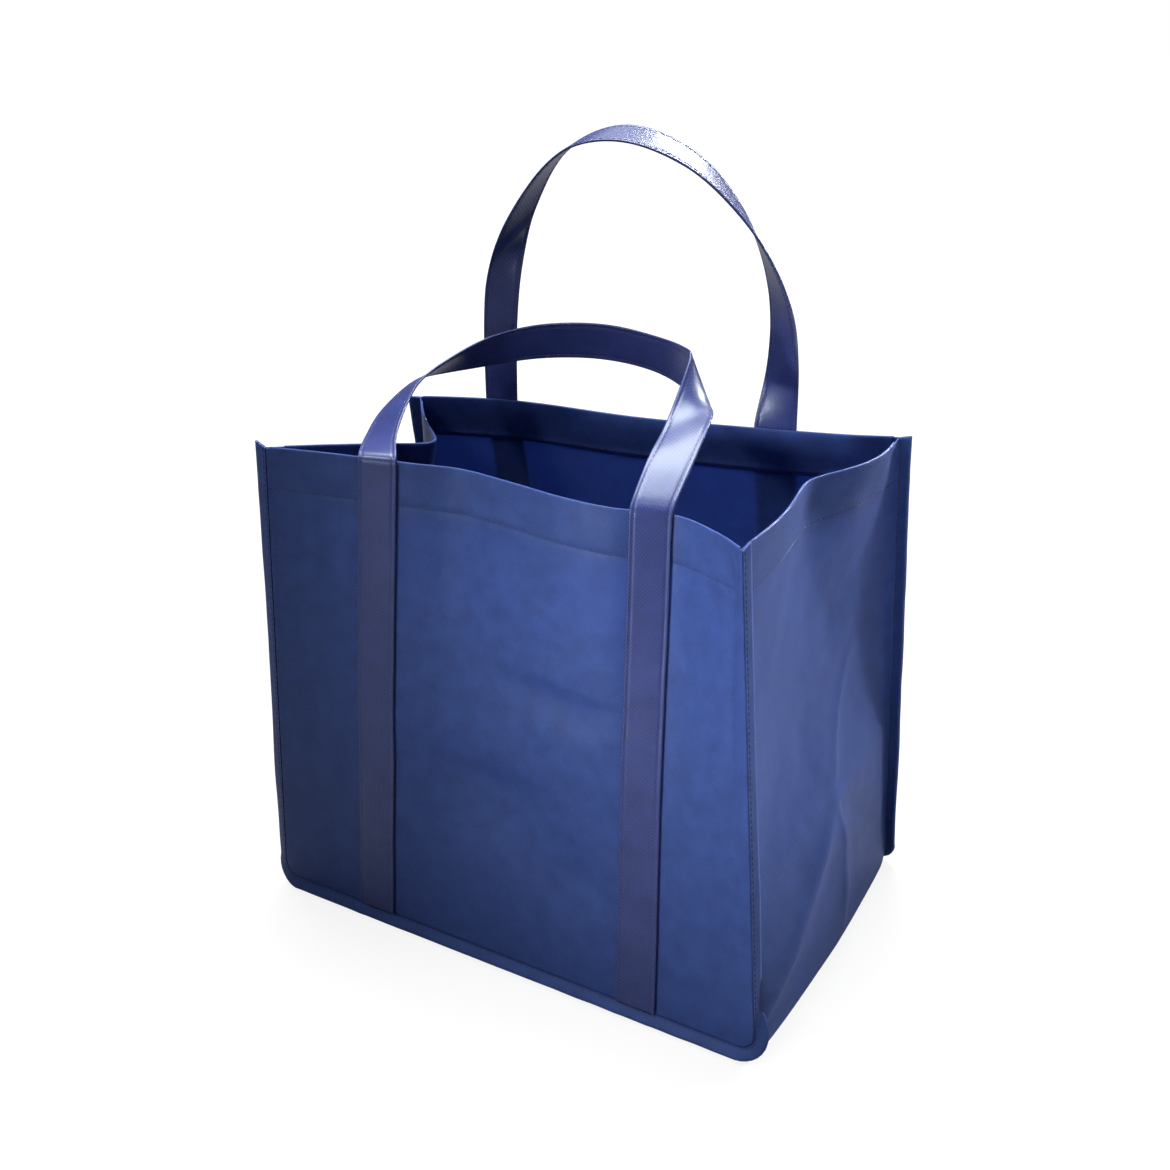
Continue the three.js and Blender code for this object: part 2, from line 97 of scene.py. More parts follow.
# The two ends of each panel's bottom seam, and the rim above it from left to right.
# Shares of half the width and half the depth. The gather is the cloth taken up at the left end of a rim.
FRONT = {
    "facing": -1,
    "foot": [(-1.012, -0.975), (1.025, -1.055)],
    "rim": [
        (-0.933, -0.977), (-0.675, -0.88), (-0.405, -0.79), (-0.24, -0.72), (-0.05, -0.75),
        (0.184, -0.808), (0.368, -0.807), (0.564, -0.712), (0.748, -0.825), (0.871, -0.949),
    ],
    "gather": 0,
}
BACK = {
    "facing": 1,
    "foot": [(-1.0, 1.0), (0.99, 1.0)],
    "rim": [
        (-0.883, 0.335), (-0.479, 0.46), (0.018, 0.52), (0.472, 0.64), (0.779, 0.747), (0.937, 0.83),
    ],
    "gather": 0.34,
}

# The upright crease of each side: its foot, where the slanting creases meet it, and its top, then how far
# it bows in. In front of the crease and behind it, the cloth swells out by its belly at the rim, which grows
# upward with a power, and sinks in by its hollow between the meeting point and the rim.
RIGHT_CREASE = {
    "foot": (1.006, 0.1),
    "meet": (1.012, -0.04, 0.373),
    "top": (0.819, -0.015, 1.0),
    "bow": 9,
    "belly": (5, 10.5),
    "growth": (2, 3),
    "hollow": (3, 3.5),
}
LEFT_CREASE = {
    "foot": (-0.99, 0.0),
    "meet": (-0.785, -0.167, 0.337),
    "top": (-0.466, -0.4, 0.987),
    "bow": 0,
    "belly": (3, 4),
    "growth": (1, 1),
    "hollow": (0, 0),
}
MEET_HEIGHT = RIGHT_CREASE["meet"][2] * HEIGHT - SEAM_HEIGHT

# A bow and a hollow are deepest below the middle: this power of the rise is under 1.
BOW_LOW = 0.65

# Where each loop passes: shares of half the width, half the depth and the loop's rise over the rim,
# then the direction across the strap. A loop is folded over at the place FRONT_FOLD.
FRONT_LOOP = [
    ((-0.613, -0.614, 0.025), (-23, 2, -6)),
    ((-0.672, -0.353, 0.075), (-23, 5, -10)),
    ((-0.69, -0.074, 0.12), (-15, 18, -7)),
    ((-0.654, 0.13, 0.144), (-15, 13, -16)),
    ((-0.556, 0.307, 0.18), (-10, 5, -22)),
    ((-0.356, 0.381, 0.236), (-5, 6, -23)),
    ((-0.092, 0.409, 0.268), (-5, 6, -24)),
    ((0.172, 0.335, 0.264), (-6, 6, -23)),
    ((0.395, 0.102, 0.254), (15, -3, -32)),
    ((0.444, -0.205, 0.18), (23, 9, 3)),
    ((0.475, -0.484, 0.113), (24, 9, 0)),
]
FRONT_FOLD = 8
REAR_LOOP = [
    ((-0.549, 0.43, 0.27), (25, -1, 3)),
    ((-0.525, 0.43, 0.48), (23, 4, 9)),
    ((-0.466, 0.465, 0.69), (10, 21, 9)),
    ((-0.305, 0.53, 0.93), (-8, 24, -2)),
    ((-0.098, 0.605, 1.0), (-6, 24, 5)),
    ((0.142, 0.69, 0.92), (-6, 24, 4)),
    ((0.319, 0.745, 0.75), (-8, 23, -2)),
    ((0.429, 0.755, 0.575), (-14, 20, -6)),
    ((0.496, 0.735, 0.4), (-20, 14, -4)),
    ((0.521, 0.69, 0.225), (-23, 8, -5)),
]

# How finely the cloth is divided, in millimetres or in steps, and how often it is softened.
CLOTH_STEP = 2.4
FINE_STEP = 0.8
FINE_REACH = 3.5
GRADE_DIVISIONS = 4000
RIM_DIVISIONS = 600
NEARBY = 1.5
ARC_STEPS = 8
MEET_STEPS = 36
NEAR_SEAM_STEPS = 4
FIN_STEPS = 5
RIM_TURN_STEPS = 5
HEM_START = 3
CLOTH_PASSES = 2
CREASE_REACH = 12
CREASE_PASSES = 18
CREASE_SOFTNESS = 0.5
CREASE_FADE = (5, 90)
NOISE_CELLS = 64

# Relief of the panels: how far from the seams and the rim it fades in, and how far the middle stands out.
CALM_SEAM = 14
CALM_FOOT = 10
CALM_RIM = 12
FRONT_BELLY = 2.5
BACK_BELLY = 3

# Waves of the cloth: height, length and seed of each, and where on the noise they start.
FRONT_WAVES = [(0.5, 46, 11), (0.22, 19, 12)]
BACK_WAVES = [(0.6, 52, 21), (0.25, 20, 22)]
SIDE_WAVES = [(0.7, 34, 31), (0.3, 15, 32)]
FOLD_WAVES = [(0.5, 40, 23)]
PANEL_ORIGIN = 500
SIDE_ORIGIN = 700
RIGHT_ORIGIN = 400

# A gutter runs up the front's right edge, from the first of two heights and in full from the second.
# The back keeps the mark of being folded flat. Each has a depth and a width.
GUTTER = (1.4, 7)
GUTTER_PLACE = 11
GUTTER_HEIGHTS = (20, 60)
FLAT_FOLD = (1.2, 9)

# Shallow dents of the front cloth: place, half length and half height, turn and depth.
# A dent runs out more slowly below its middle.
DENT_FOOT = 2.6
FRONT_DENTS = [
    (32, 178, 30, 6, -0.1, 2.8),
    (-8, 108, 44, 14, -0.08, 6),
    (50, 74, 26, 11, -0.7, 4.2),
    (60, 150, 30, 20, 0.4, -1.0),
]

# The furrow of each line of sewing, as depth and width, and how it fades in from a panel's edge.
HEM_FURROW = (0.5, 1.4)
SIDE_HEM_FURROW = (0.2, 1.4)
STRAP_FURROW = (0.16, 1.6)
FURROW_FADE = (1, 5)

# Relief of the sides: the shares of the way from a seam, the floor and the rim over which it fades in.
SIDE_CALM_SEAM = 0.12
SIDE_CALM_FOOT = 0.2
SIDE_CALM_RIM = 0.05
SIDE_FURROW_SEAM = 0.03
SIDE_CREASE_SEAM = 0.08

# The lesser creases of the right side: a slant each way from the foot's corners, in front and behind, an
# upright one between them, a ray that leans back above their meeting point, and a dent beside it.
SLANT_HEIGHTS = (5, -2.5)
SLANT_FADE = 17 / 72
UPRIGHT_HEIGHT = 4.5
UPRIGHT_FADE = 11
LOW_GROWTH = 3
LOW_END = (1.0, 0.7)
RAY_HEIGHT = 1.5
RAY_LEAN = 0.75
RAY_FADE = 6
RAY_START = (0, 15)
RAY_END = (95, 50)
SIDE_DENT_DEPTH = 1.5
SIDE_DENT_PLACE = (25, 95)
SIDE_DENT_SIZE = (16, 14)

# Guards against division by nothing.
TINY = 1e-9
SMALL_RISE = 1e-6
SIDEWAYS = np.array([1, 0, 0])


# Helpers for arrays of points.
def unit(v):
    return v / np.maximum(np.linalg.norm(v, axis=-1, keepdims=True), TINY)


def mix(a, b, share):
    return a + (b - a) * share


def hill(distance, width):
    """A smooth hill of height 1 that fades over a width."""
    return np.exp(-((np.asarray(distance, float) / width) ** 2))


def furrow(distance, form):
    depth, width = form
    return depth * hill(distance, width)


def crest(distance, width):
    """A sharp crest of height 1 that fades over a width."""
    return np.exp(-np.abs(distance) / width)


def ramp(low, high, value):
    """0 at low, 1 at high, and smooth between. It falls where high is below low."""
    share = np.clip((value - low) / (high - low), 0, 1)
    return share * share * (3 - 2 * share)


def running_length(points):
    """The length of a line of points from its start to each of them."""
    return np.concatenate([[0], np.cumsum(np.linalg.norm(np.diff(points, axis=0), axis=1))])


def clouds(a, b, size, seed):
    """Smooth seeded noise over two coordinates, about -1 to 1, with lumps of a size."""
    lattice = np.random.default_rng(seed).uniform(-1, 1, (NOISE_CELLS, NOISE_CELLS))
    a = np.asarray(a, float) / size
    b = np.asarray(b, float) / size
    column = np.floor(a).astype(int)
    row = np.floor(b).astype(int)

    def corner(right, up):
        return lattice[(column + right) % NOISE_CELLS, (row + up) % NOISE_CELLS]

    u = ramp(0, 1, a - column)
    low = mix(corner(0, 0), corner(1, 0), u)
    high = mix(corner(0, 1), corner(1, 1), u)
    return mix(low, high, ramp(0, 1, b - row))


def waves(a, b, rows):
    return sum(height * clouds(a, b, size, seed) for height, size, seed in rows)


def graded(low, high, step, lines=(), fine=FINE_STEP):
    """Values from low to high, about a step apart and finer near the lines."""
    places = np.linspace(low, high, GRADE_DIVISIONS)
    density = np.full_like(places, 1 / step)
    for line in lines:
        density = np.maximum(density, hill(places - line, FINE_REACH) / fine)
    total = np.concatenate([[0], np.cumsum((density[1:] + density[:-1]) / 2 * np.diff(places))])
    count = max(1, math.ceil(total[-1]))
    return np.interp(np.linspace(0, total[-1], count + 1), total, places)


def to_point(share, z):
    return np.array([share[0] * WIDTH / 2, share[1] * DEPTH / 2, z], float)


def spline(points, t):
    """Points of a centripetal Catmull-Rom spline, at shares t of its spans."""
    points = np.asarray(points, float)
    ends = 2 * points[0] - points[1], 2 * points[-1] - points[-2]
    path = np.vstack([ends[0], points, ends[1]])
    spans = len(points) - 1
    place = np.clip(np.asarray(t, float), 0, 1) * spans
    index = np.minimum(place.astype(int), spans - 1)
    w = (place - index)[..., None]
    p0, p1, p2, p3 = (path[index + k] for k in range(4))
    d0, d1, d2 = (
        np.sqrt(np.linalg.norm(b - a, axis=-1, keepdims=True)) for a, b in ((p0, p1), (p1, p2), (p2, p3))
    )
    leave = d1 * ((p1 - p0) / d0 - (p2 - p0) / (d0 + d1) + (p2 - p1) / d1)
    arrive = d1 * ((p2 - p1) / d1 - (p3 - p1) / (d1 + d2) + (p3 - p2) / d2)
    square = 3 * (p2 - p1) - 2 * leave - arrive
    cube = 2 * (p1 - p2) + leave + arrive
    return ((cube * w + square) * w + leave) * w + p1


def softened(grid, passes):
    """A grid of points with its creases rounded a little. Its outer rows and columns stay."""
    grid = grid.copy()
    for _ in range(passes):
        near = (grid[:-2, 1:-1] + grid[2:, 1:-1] + grid[1:-1, :-2] + grid[1:-1, 2:]) / 4
        grid[1:-1, 1:-1] = (grid[1:-1, 1:-1] + near) / 2
    return grid


def grid_quads(numbers):
    """Faces between neighbouring points of a grid of numbers."""
    corners = [numbers[:-1, :-1], numbers[:-1, 1:], numbers[1:, 1:], numbers[1:, :-1]]
    return np.stack(corners, axis=-1).reshape(-1, 4)


# Meshes.
def into_scene(name, data):
    made = bpy.data.objects.new(name, data)
    bpy.context.scene.collection.objects.link(made)
    return made


def mesh_object(name, points, faces, flat=None, sharp=0):
    """A Blender object from points in millimetres. flat is each point's place on the uncut cloth.

    The last faces, as many as sharp says, are not shaded smooth.
    """
    mesh = bpy.data.meshes.new(name)
    mesh.from_pydata((points.reshape(-1, 3) * MM).tolist(), [], faces)
    smooth = np.arange(len(faces)) < len(faces) - sharp
    mesh.polygons.foreach_set("use_smooth", smooth)
    if flat is not None:
        cloth = mesh.attributes.new("cloth", "FLOAT_VECTOR", "POINT")
        cloth.data.foreach_set("vector", np.asarray(flat, np.float32).ravel())
    mesh.validate()
    return into_scene(name, mesh)


class Sheet:
    """Points and quads of a cloth, with each point's place on the flat cloth, made into a closed body."""

    def __init__(self):
        self.points = []
        self.flat = []
        self.quads = []
        self.count = 0

    def add(self, points, flat):
        """Adds an array of points and returns their numbers in an array of the same form."""
        points = np.asarray(points, float)
        numbers = np.arange(self.count, self.count + points[..., 0].size).reshape(points.shape[:-1])
        self.points.append(points.reshape(-1, 3))
        self.flat.append(np.broadcast_to(flat, points.shape).reshape(-1, 3))
        self.count += numbers.size
        return numbers

    def join(self, numbers):
        self.quads.append(grid_quads(numbers))

    def finish(self):
        self.points = np.vstack(self.points)
        self.flat = np.vstack(self.flat)
        self.quads = np.vstack(self.quads)
        a, b, c, d = (self.points[self.quads[:, k]] for k in range(4))
        face_normals = np.cross(c - a, d - b)
        self.normals = np.zeros_like(self.points)
        for k in range(4):
            np.add.at(self.normals, self.quads[:, k], face_normals)
        self.normals = unit(self.normals)
        return self

    def solid(self, name):
        """Both faces of the cloth, and the narrow sides along its border."""
        half = self.normals * CLOTH / 2
        points = np.vstack([self.points + half, self.points - half])
        lower = self.quads[:, ::-1] + self.count
        edges = np.vstack([self.quads[:, [k, (k + 1) % 4]] for k in range(4)])
        keys = np.sort(edges, axis=1)
        _, first, times = np.unique(keys, axis=0, return_index=True, return_counts=True)
        start, end = edges[first[times == 1]].T
        sides = np.stack([end, start, start + self.count, end + self.count], axis=1)
        faces = np.vstack([self.quads, lower, sides])
        return mesh_object(name, points, faces.tolist(), np.vstack([self.flat, self.flat]), len(sides))


# The big panels.
def panel_form(x, height, belly, details):
    """A panel's belly and details, which fade out at its seams and its rim."""
    calm = ramp(0, CALM_SEAM, HALF_WIDTH - np.abs(x)) * ramp(0, CALM_FOOT, height)
    calm = calm * ramp(0, CALM_RIM, PANEL_HEIGHT - height)
    swell = belly * np.sin(np.pi * height / PANEL_HEIGHT) * np.cos(np.pi * x / WIDTH)
    return calm * (swell + details)


def front_relief(x, height):
    """How far the front cloth stands out of its straight form, in millimetres."""
    details = waves(x + PANEL_ORIGIN, height + PANEL_ORIGIN, FRONT_WAVES)
    for middle_x, middle_h, wide, tall, turn, depth in FRONT_DENTS:
        across = (x - middle_x) * math.cos(turn) + (height - middle_h) * math.sin(turn)
        upward = (height - middle_h) * math.cos(turn) - (x - middle_x) * math.sin(turn)
        reach = np.where(upward > 0, tall, DENT_FOOT * tall)
        details = details - depth * hill(across, wide) * hill(upward, reach)
    gutter = furrow(HALF_WIDTH - np.abs(x) - GUTTER_PLACE, GUTTER) * (x > 0)
    return panel_form(x, height, FRONT_BELLY, details - gutter * ramp(*GUTTER_HEIGHTS, height))


def back_relief(x, height):
    """The same for the back cloth."""
    place = (x + PANEL_ORIGIN, height + PANEL_ORIGIN)
    fold = furrow(height - PANEL_HEIGHT / 2, FLAT_FOLD) * (1 + waves(*place, FOLD_WAVES))
    return panel_form(x, height, BACK_BELLY, waves(*place, BACK_WAVES) - fold)


def stitch_dimples(x, height):
    """The furrow that each line of sewing draws in the cloth."""
    deep = furrow(PANEL_HEIGHT - height - HEM_STITCH, HEM_FURROW)
    for line in STRAP_LINES:
        deep = deep + furrow(x - line, STRAP_FURROW)
    return -deep * ramp(*FURROW_FADE, HALF_WIDTH - np.abs(x))


class Panel:
    """A big panel. Its upright lines are straight cloth from foot to rim, and relief stands on that."""

    def __init__(self, shape, relief):
        self.facing = shape["facing"]
        self.gather = shape["gather"]
        self.foot = np.array([to_point(share, SEAM_HEIGHT) for share in shape["foot"]])
        self.rim = np.array([to_point(share, 0) for share in shape["rim"]])
        self.relief = relief
        self.rim_steps = np.linspace(0, 1, RIM_DIVISIONS + 1)
        self.rim_lengths = running_length(spline(self.rim, self.rim_steps))

    def plain(self, x, height):
        x, height = np.broadcast_arrays(np.asarray(x, float), np.asarray(height, float))
        share = np.clip(x / WIDTH + 0.5, 0, 1)
        low = mix(self.foot[0], self.foot[1], share[..., None])
        along = share - self.gather * share * (1 - share) ** 2
        top = spline(self.rim, np.interp(along * self.rim_lengths[-1], self.rim_lengths, self.rim_steps))
        sway = np.hypot(top[..., 0] - low[..., 0], top[..., 1] - low[..., 1])
        top[..., 2] = SEAM_HEIGHT + np.sqrt(PANEL_HEIGHT**2 - sway**2)
        return mix(low, top, (height / PANEL_HEIGHT)[..., None])

    def frame(self, x, height):
        """Directions along the panel, up it and into the bag."""
        left = np.maximum(np.asarray(x, float) - NEARBY, -HALF_WIDTH)
        right = np.minimum(np.asarray(x, float) + NEARBY, HALF_WIDTH)
        along = unit(self.plain(right, height) - self.plain(left, height))
        up = unit(self.plain(x, np.asarray(height, float) + NEARBY) - self.plain(x, height))
        inward = unit(np.cross(up, along)) * -self.facing
        return along, up, inward

    def at(self, x, height, sewn=True):
        """The middle of the cloth."""
        inward = self.frame(x, height)[2]
        out = self.relief(x, height)
        if sewn:
            out = out + stitch_dimples(x, height)
        return self.plain(x, height) - inward * out[..., None]


def panel_rows():
    """Rows of a panel from the bottom seam up: rounded corners, lower creases, wall and hem."""
    turns = np.linspace(0, np.pi / 2, ARC_STEPS + 1)
    meet = np.linspace(PANEL_ROUND, MEET_HEIGHT, MEET_STEPS + 1)[1:]
    hem_line = PANEL_HEIGHT - HEM_STITCH
    wall = graded(MEET_HEIGHT, hem_line, CLOTH_STEP, [hem_line])[1:]
    hem = graded(hem_line, PANEL_HEIGHT, CLOTH_STEP, [hem_line, PANEL_HEIGHT])[1:]
    straight = np.concatenate([meet, wall, hem])
    heights = np.concatenate([PANEL_ROUND * (1 - np.cos(turns)), straight])
    corner_halves = HALF_WIDTH - PANEL_ROUND * (1 - np.sin(turns))
    halves = np.concatenate([corner_halves, np.full(len(straight), HALF_WIDTH)])
    turns = np.concatenate([turns, np.full(len(straight), np.pi / 2)])
    return heights, halves, turns, ARC_STEPS + len(meet) + len(wall)


ROW_HEIGHT, ROW_HALF, ROW_TURN, HEM_ROW = panel_rows()
TOP_ROW = len(ROW_HEIGHT) - 1
HEM_DEPTH_ROW = int(np.argmin(np.abs(ROW_HEIGHT - (PANEL_HEIGHT - HEM))))
HEM_ROWS = np.arange(TOP_ROW, HEM_DEPTH_ROW - 1, -1)
STITCHED_HEM_ROW = 1 + RIM_TURN_STEPS + TOP_ROW - HEM_ROW

# Columns run straight up as far out as the straps; beyond them they close in on a rounded corner.
STRAIGHT = 0.7 * HALF_WIDTH
COLUMN_X = graded(-HALF_WIDTH, HALF_WIDTH, CLOTH_STEP, [-HALF_WIDTH, *STRAP_LINES, HALF_WIDTH])


def column_x(x, half):
    shrink = (half - STRAIGHT) / (HALF_WIDTH - STRAIGHT)
    beyond = np.maximum(np.abs(x) - STRAIGHT, 0)
    return np.sign(x) * (np.minimum(np.abs(x), STRAIGHT) + beyond * shrink)


def crease_place(crease, name):
    return to_point(crease[name], crease[name][2] * HEIGHT)


def rise_over_meet(height):
    return (height - MEET_HEIGHT) / (PANEL_HEIGHT - MEET_HEIGHT)


def rise_to_meet(height):
    return (height - PANEL_ROUND) / (MEET_HEIGHT - PANEL_ROUND)


def bowed(rise):
    """0 at the meeting point and at the rim, and 1 a little below the middle."""
    return math.sin(math.pi * rise**BOW_LOW)


def crease_point(crease, height):
    """The place of a side's upright crease that is level with a height on the panels."""
    meet = crease_place(crease, "meet")
    if height <= MEET_HEIGHT:
        return mix(to_point(crease["foot"], FLOOR_ROUND), meet, rise_to_meet(height))
    rise = rise_over_meet(height)
    return mix(meet, crease_place(crease, "top"), rise) - SIDEWAYS * crease["bow"] * bowed(rise)


class Seam:
    """The places of a seam round a panel: down its left edge, along its bottom and up its right edge."""

    def __init__(self):
        side_rows = np.arange(1, TOP_ROW + 1)
        bottom = np.zeros(len(COLUMN_X), int)
        self.row = np.concatenate([side_rows[::-1], bottom, side_rows])
        self.hand = np.concatenate([np.full(TOP_ROW, -1), bottom, np.full(TOP_ROW, 1)])
        self.column = np.concatenate([np.zeros(TOP_ROW), COLUMN_X, np.zeros(TOP_ROW)])
        self.height = ROW_HEIGHT[self.row]
        self.turn = ROW_TURN[self.row]
        bottom_x = column_x(self.column, ROW_HALF[0])
        self.x = np.where(self.hand == 0, bottom_x, self.hand * ROW_HALF[self.row])
        self.out = np.stack([self.hand * np.sin(self.turn), -np.cos(self.turn)], axis=-1)
        share = np.where(self.hand == 0, 0, self.turn / (np.pi / 2))
        self.lean = np.radians(mix(-FIN_SPLAY, FIN_LEAN, share))
        self.length = np.arange(len(self.row)) * CLOTH_STEP

    def on(self, panel, seed):
        """The seam's line on a panel: the directions of the fin and its inner layer, the corner of the side
        cloth, how much higher the fin's tip stands, and the fin's width."""
        here = panel.plain(self.x, self.height)
        along, up, inward = panel.frame(self.x, self.height)
        out = unit(along * self.out[:, :1] + up * self.out[:, 1:])
        sway = math.radians(FIN_SWAY) * clouds(self.length, np.zeros_like(self.length), FIN_SWAY_LENGTH, seed)
        lean = (self.lean + sway)[:, None]
        fin = out * np.cos(lean) + inward * np.sin(lean)
        inner = inward * np.cos(lean) - out * np.sin(lean)
        corner = here + inward * LAYER - out * LAYER * np.tan(self.lean[:, None] / 2)
        if panel.facing < 0:
            folded = ((self.hand > 0) * ramp(FOLD_FROM, FOLD_TO, self.height))[:, None]
            fin, inner, corner = self.folded_back(here, up, fin, inner, corner, folded)
        near_top = np.maximum(0, 1 - (PANEL_HEIGHT - self.height) / HEM)
        tip = np.zeros_like(here)
        tip[:, 2] = FIN_TIP * near_top**2
        cut = FIN + FIN_CUT * clouds(self.length, np.ones_like(self.length), FIN_CUT_LENGTH, seed + 1)
        return {"here": here, "fin": fin, "inner": inner, "corner": corner, "tip": tip, "cut": cut[:, None]}

    def folded_back(self, here, up, fin, inner, corner, folded):
        """The front fin on the right, turned back until it lies along the side."""
        side = np.array([crease_point(RIGHT_CREASE, height) for height in self.height]) - here
        back = unit(side - up * np.sum(side * up, axis=1, keepdims=True))
        away = np.cross(back, up)
        opening = math.radians(FOLD_OPEN)
        fin = unit(mix(fin, back * math.cos(opening) + away * math.sin(opening), folded))
        inner = mix(inner, back * math.sin(opening) - away * math.cos(opening), folded)
        inner = unit(inner - fin * np.sum(inner * fin, axis=1, keepdims=True))
        corner = mix(corner, here + back * LAYER - away * 2 * LAYER, folded)
        return fin, inner, corner

    def fin_point(self, line, step, layer=0.0):
        """A point of the fin at a share of its width, on the panel's layer or a distance further in."""
        return line["here"] + line["fin"] * line["cut"] * step + line["tip"] * step + line["inner"] * layer


SEAM = Seam()
FIN_SHARES = np.linspace(0, 1, FIN_STEPS + 1)[1:]


def hem_grid(outer, inward):
    """A rim that turns over a half circle, and its hem inside. outer[row] is the cloth outside."""
    radius = LAYER / 2
    turned = []
    for turn in np.linspace(0, np.pi, RIM_TURN_STEPS + 2)[1:-1]:
        point = outer[TOP_ROW] + inward[TOP_ROW] * radius * (1 - math.cos(turn))
        point = point + np.array([0, 0, radius * math.sin(turn)])
        turned.append(point)
    inside = [outer[row] + inward[row] * LAYER for row in HEM_ROWS]
    return np.array(turned + inside)


def panel_sheet(panel, line):
    """The cloth of a panel with its hem and its fin, and the numbers of its outer grid and its hem."""
    sheet = Sheet()
    x = column_x(COLUMN_X[None, :], ROW_HALF[:, None])
    height = np.repeat(ROW_HEIGHT[:, None], len(COLUMN_X), axis=1)
    outer = panel.at(x, height)
    inward = panel.frame(x, height)[2]
    grid = sheet.add(outer, np.stack([x, height, np.zeros_like(x)], axis=-1))
    sheet.join(grid)

    inner_columns = slice(HEM_START, -HEM_START)
    hem = hem_grid(outer[:, inner_columns], inward[:, inner_columns])
    drop = PANEL_HEIGHT - ROW_HEIGHT[HEM_ROWS]
    over = np.concatenate([np.linspace(0, LAYER, RIM_TURN_STEPS), LAYER + drop]) + PANEL_HEIGHT
    hem_x = np.broadcast_to(COLUMN_X[inner_columns], hem.shape[:2])
    hem_flat = np.stack([hem_x, np.broadcast_to(over[:, None], hem.shape[:2]), np.ones_like(hem_x)], axis=-1)
    hem_numbers = np.vstack([grid[TOP_ROW, inner_columns], sheet.add(hem, hem_flat)])
    sheet.join(hem_numbers)

    strips = [np.concatenate([grid[TOP_ROW:0:-1, 0], grid[0], grid[1:, -1]])]
    for step in FIN_SHARES:
        flat_out = np.stack([SEAM.x, SEAM.height, np.zeros_like(SEAM.x)], axis=-1)
        flat_out[:, :2] += SEAM.out * FIN * step
        strips.append(sheet.add(SEAM.fin_point(line, step), flat_out))
    sheet.join(np.array(strips))
    return sheet.finish(), grid, hem_numbers


# One piece of cloth makes the left side, the floor and the right side. It is divided at these shares of
# the way from a seam to the middle.
CREASE_SHARES = np.linspace(0, 1, MEET_STEPS + 1)[1:]
SEAM_SHARES = np.linspace(0, CREASE_SHARES[0], NEAR_SEAM_STEPS + 1)[:-1]
CLOTH_SHARES = np.concatenate([SEAM_SHARES, CREASE_SHARES])
IN_HEM = slice(NEAR_SEAM_STEPS + HEM_START, -NEAR_SEAM_STEPS - HEM_START)
IN_FINS = slice(FIN_STEPS, -FIN_STEPS)


def foot_belly(share):
    """The cloth of a side stands out a little over the floor's edge."""
    return FOOT_BELLY * np.sqrt(np.sin(np.pi / 2 * share))


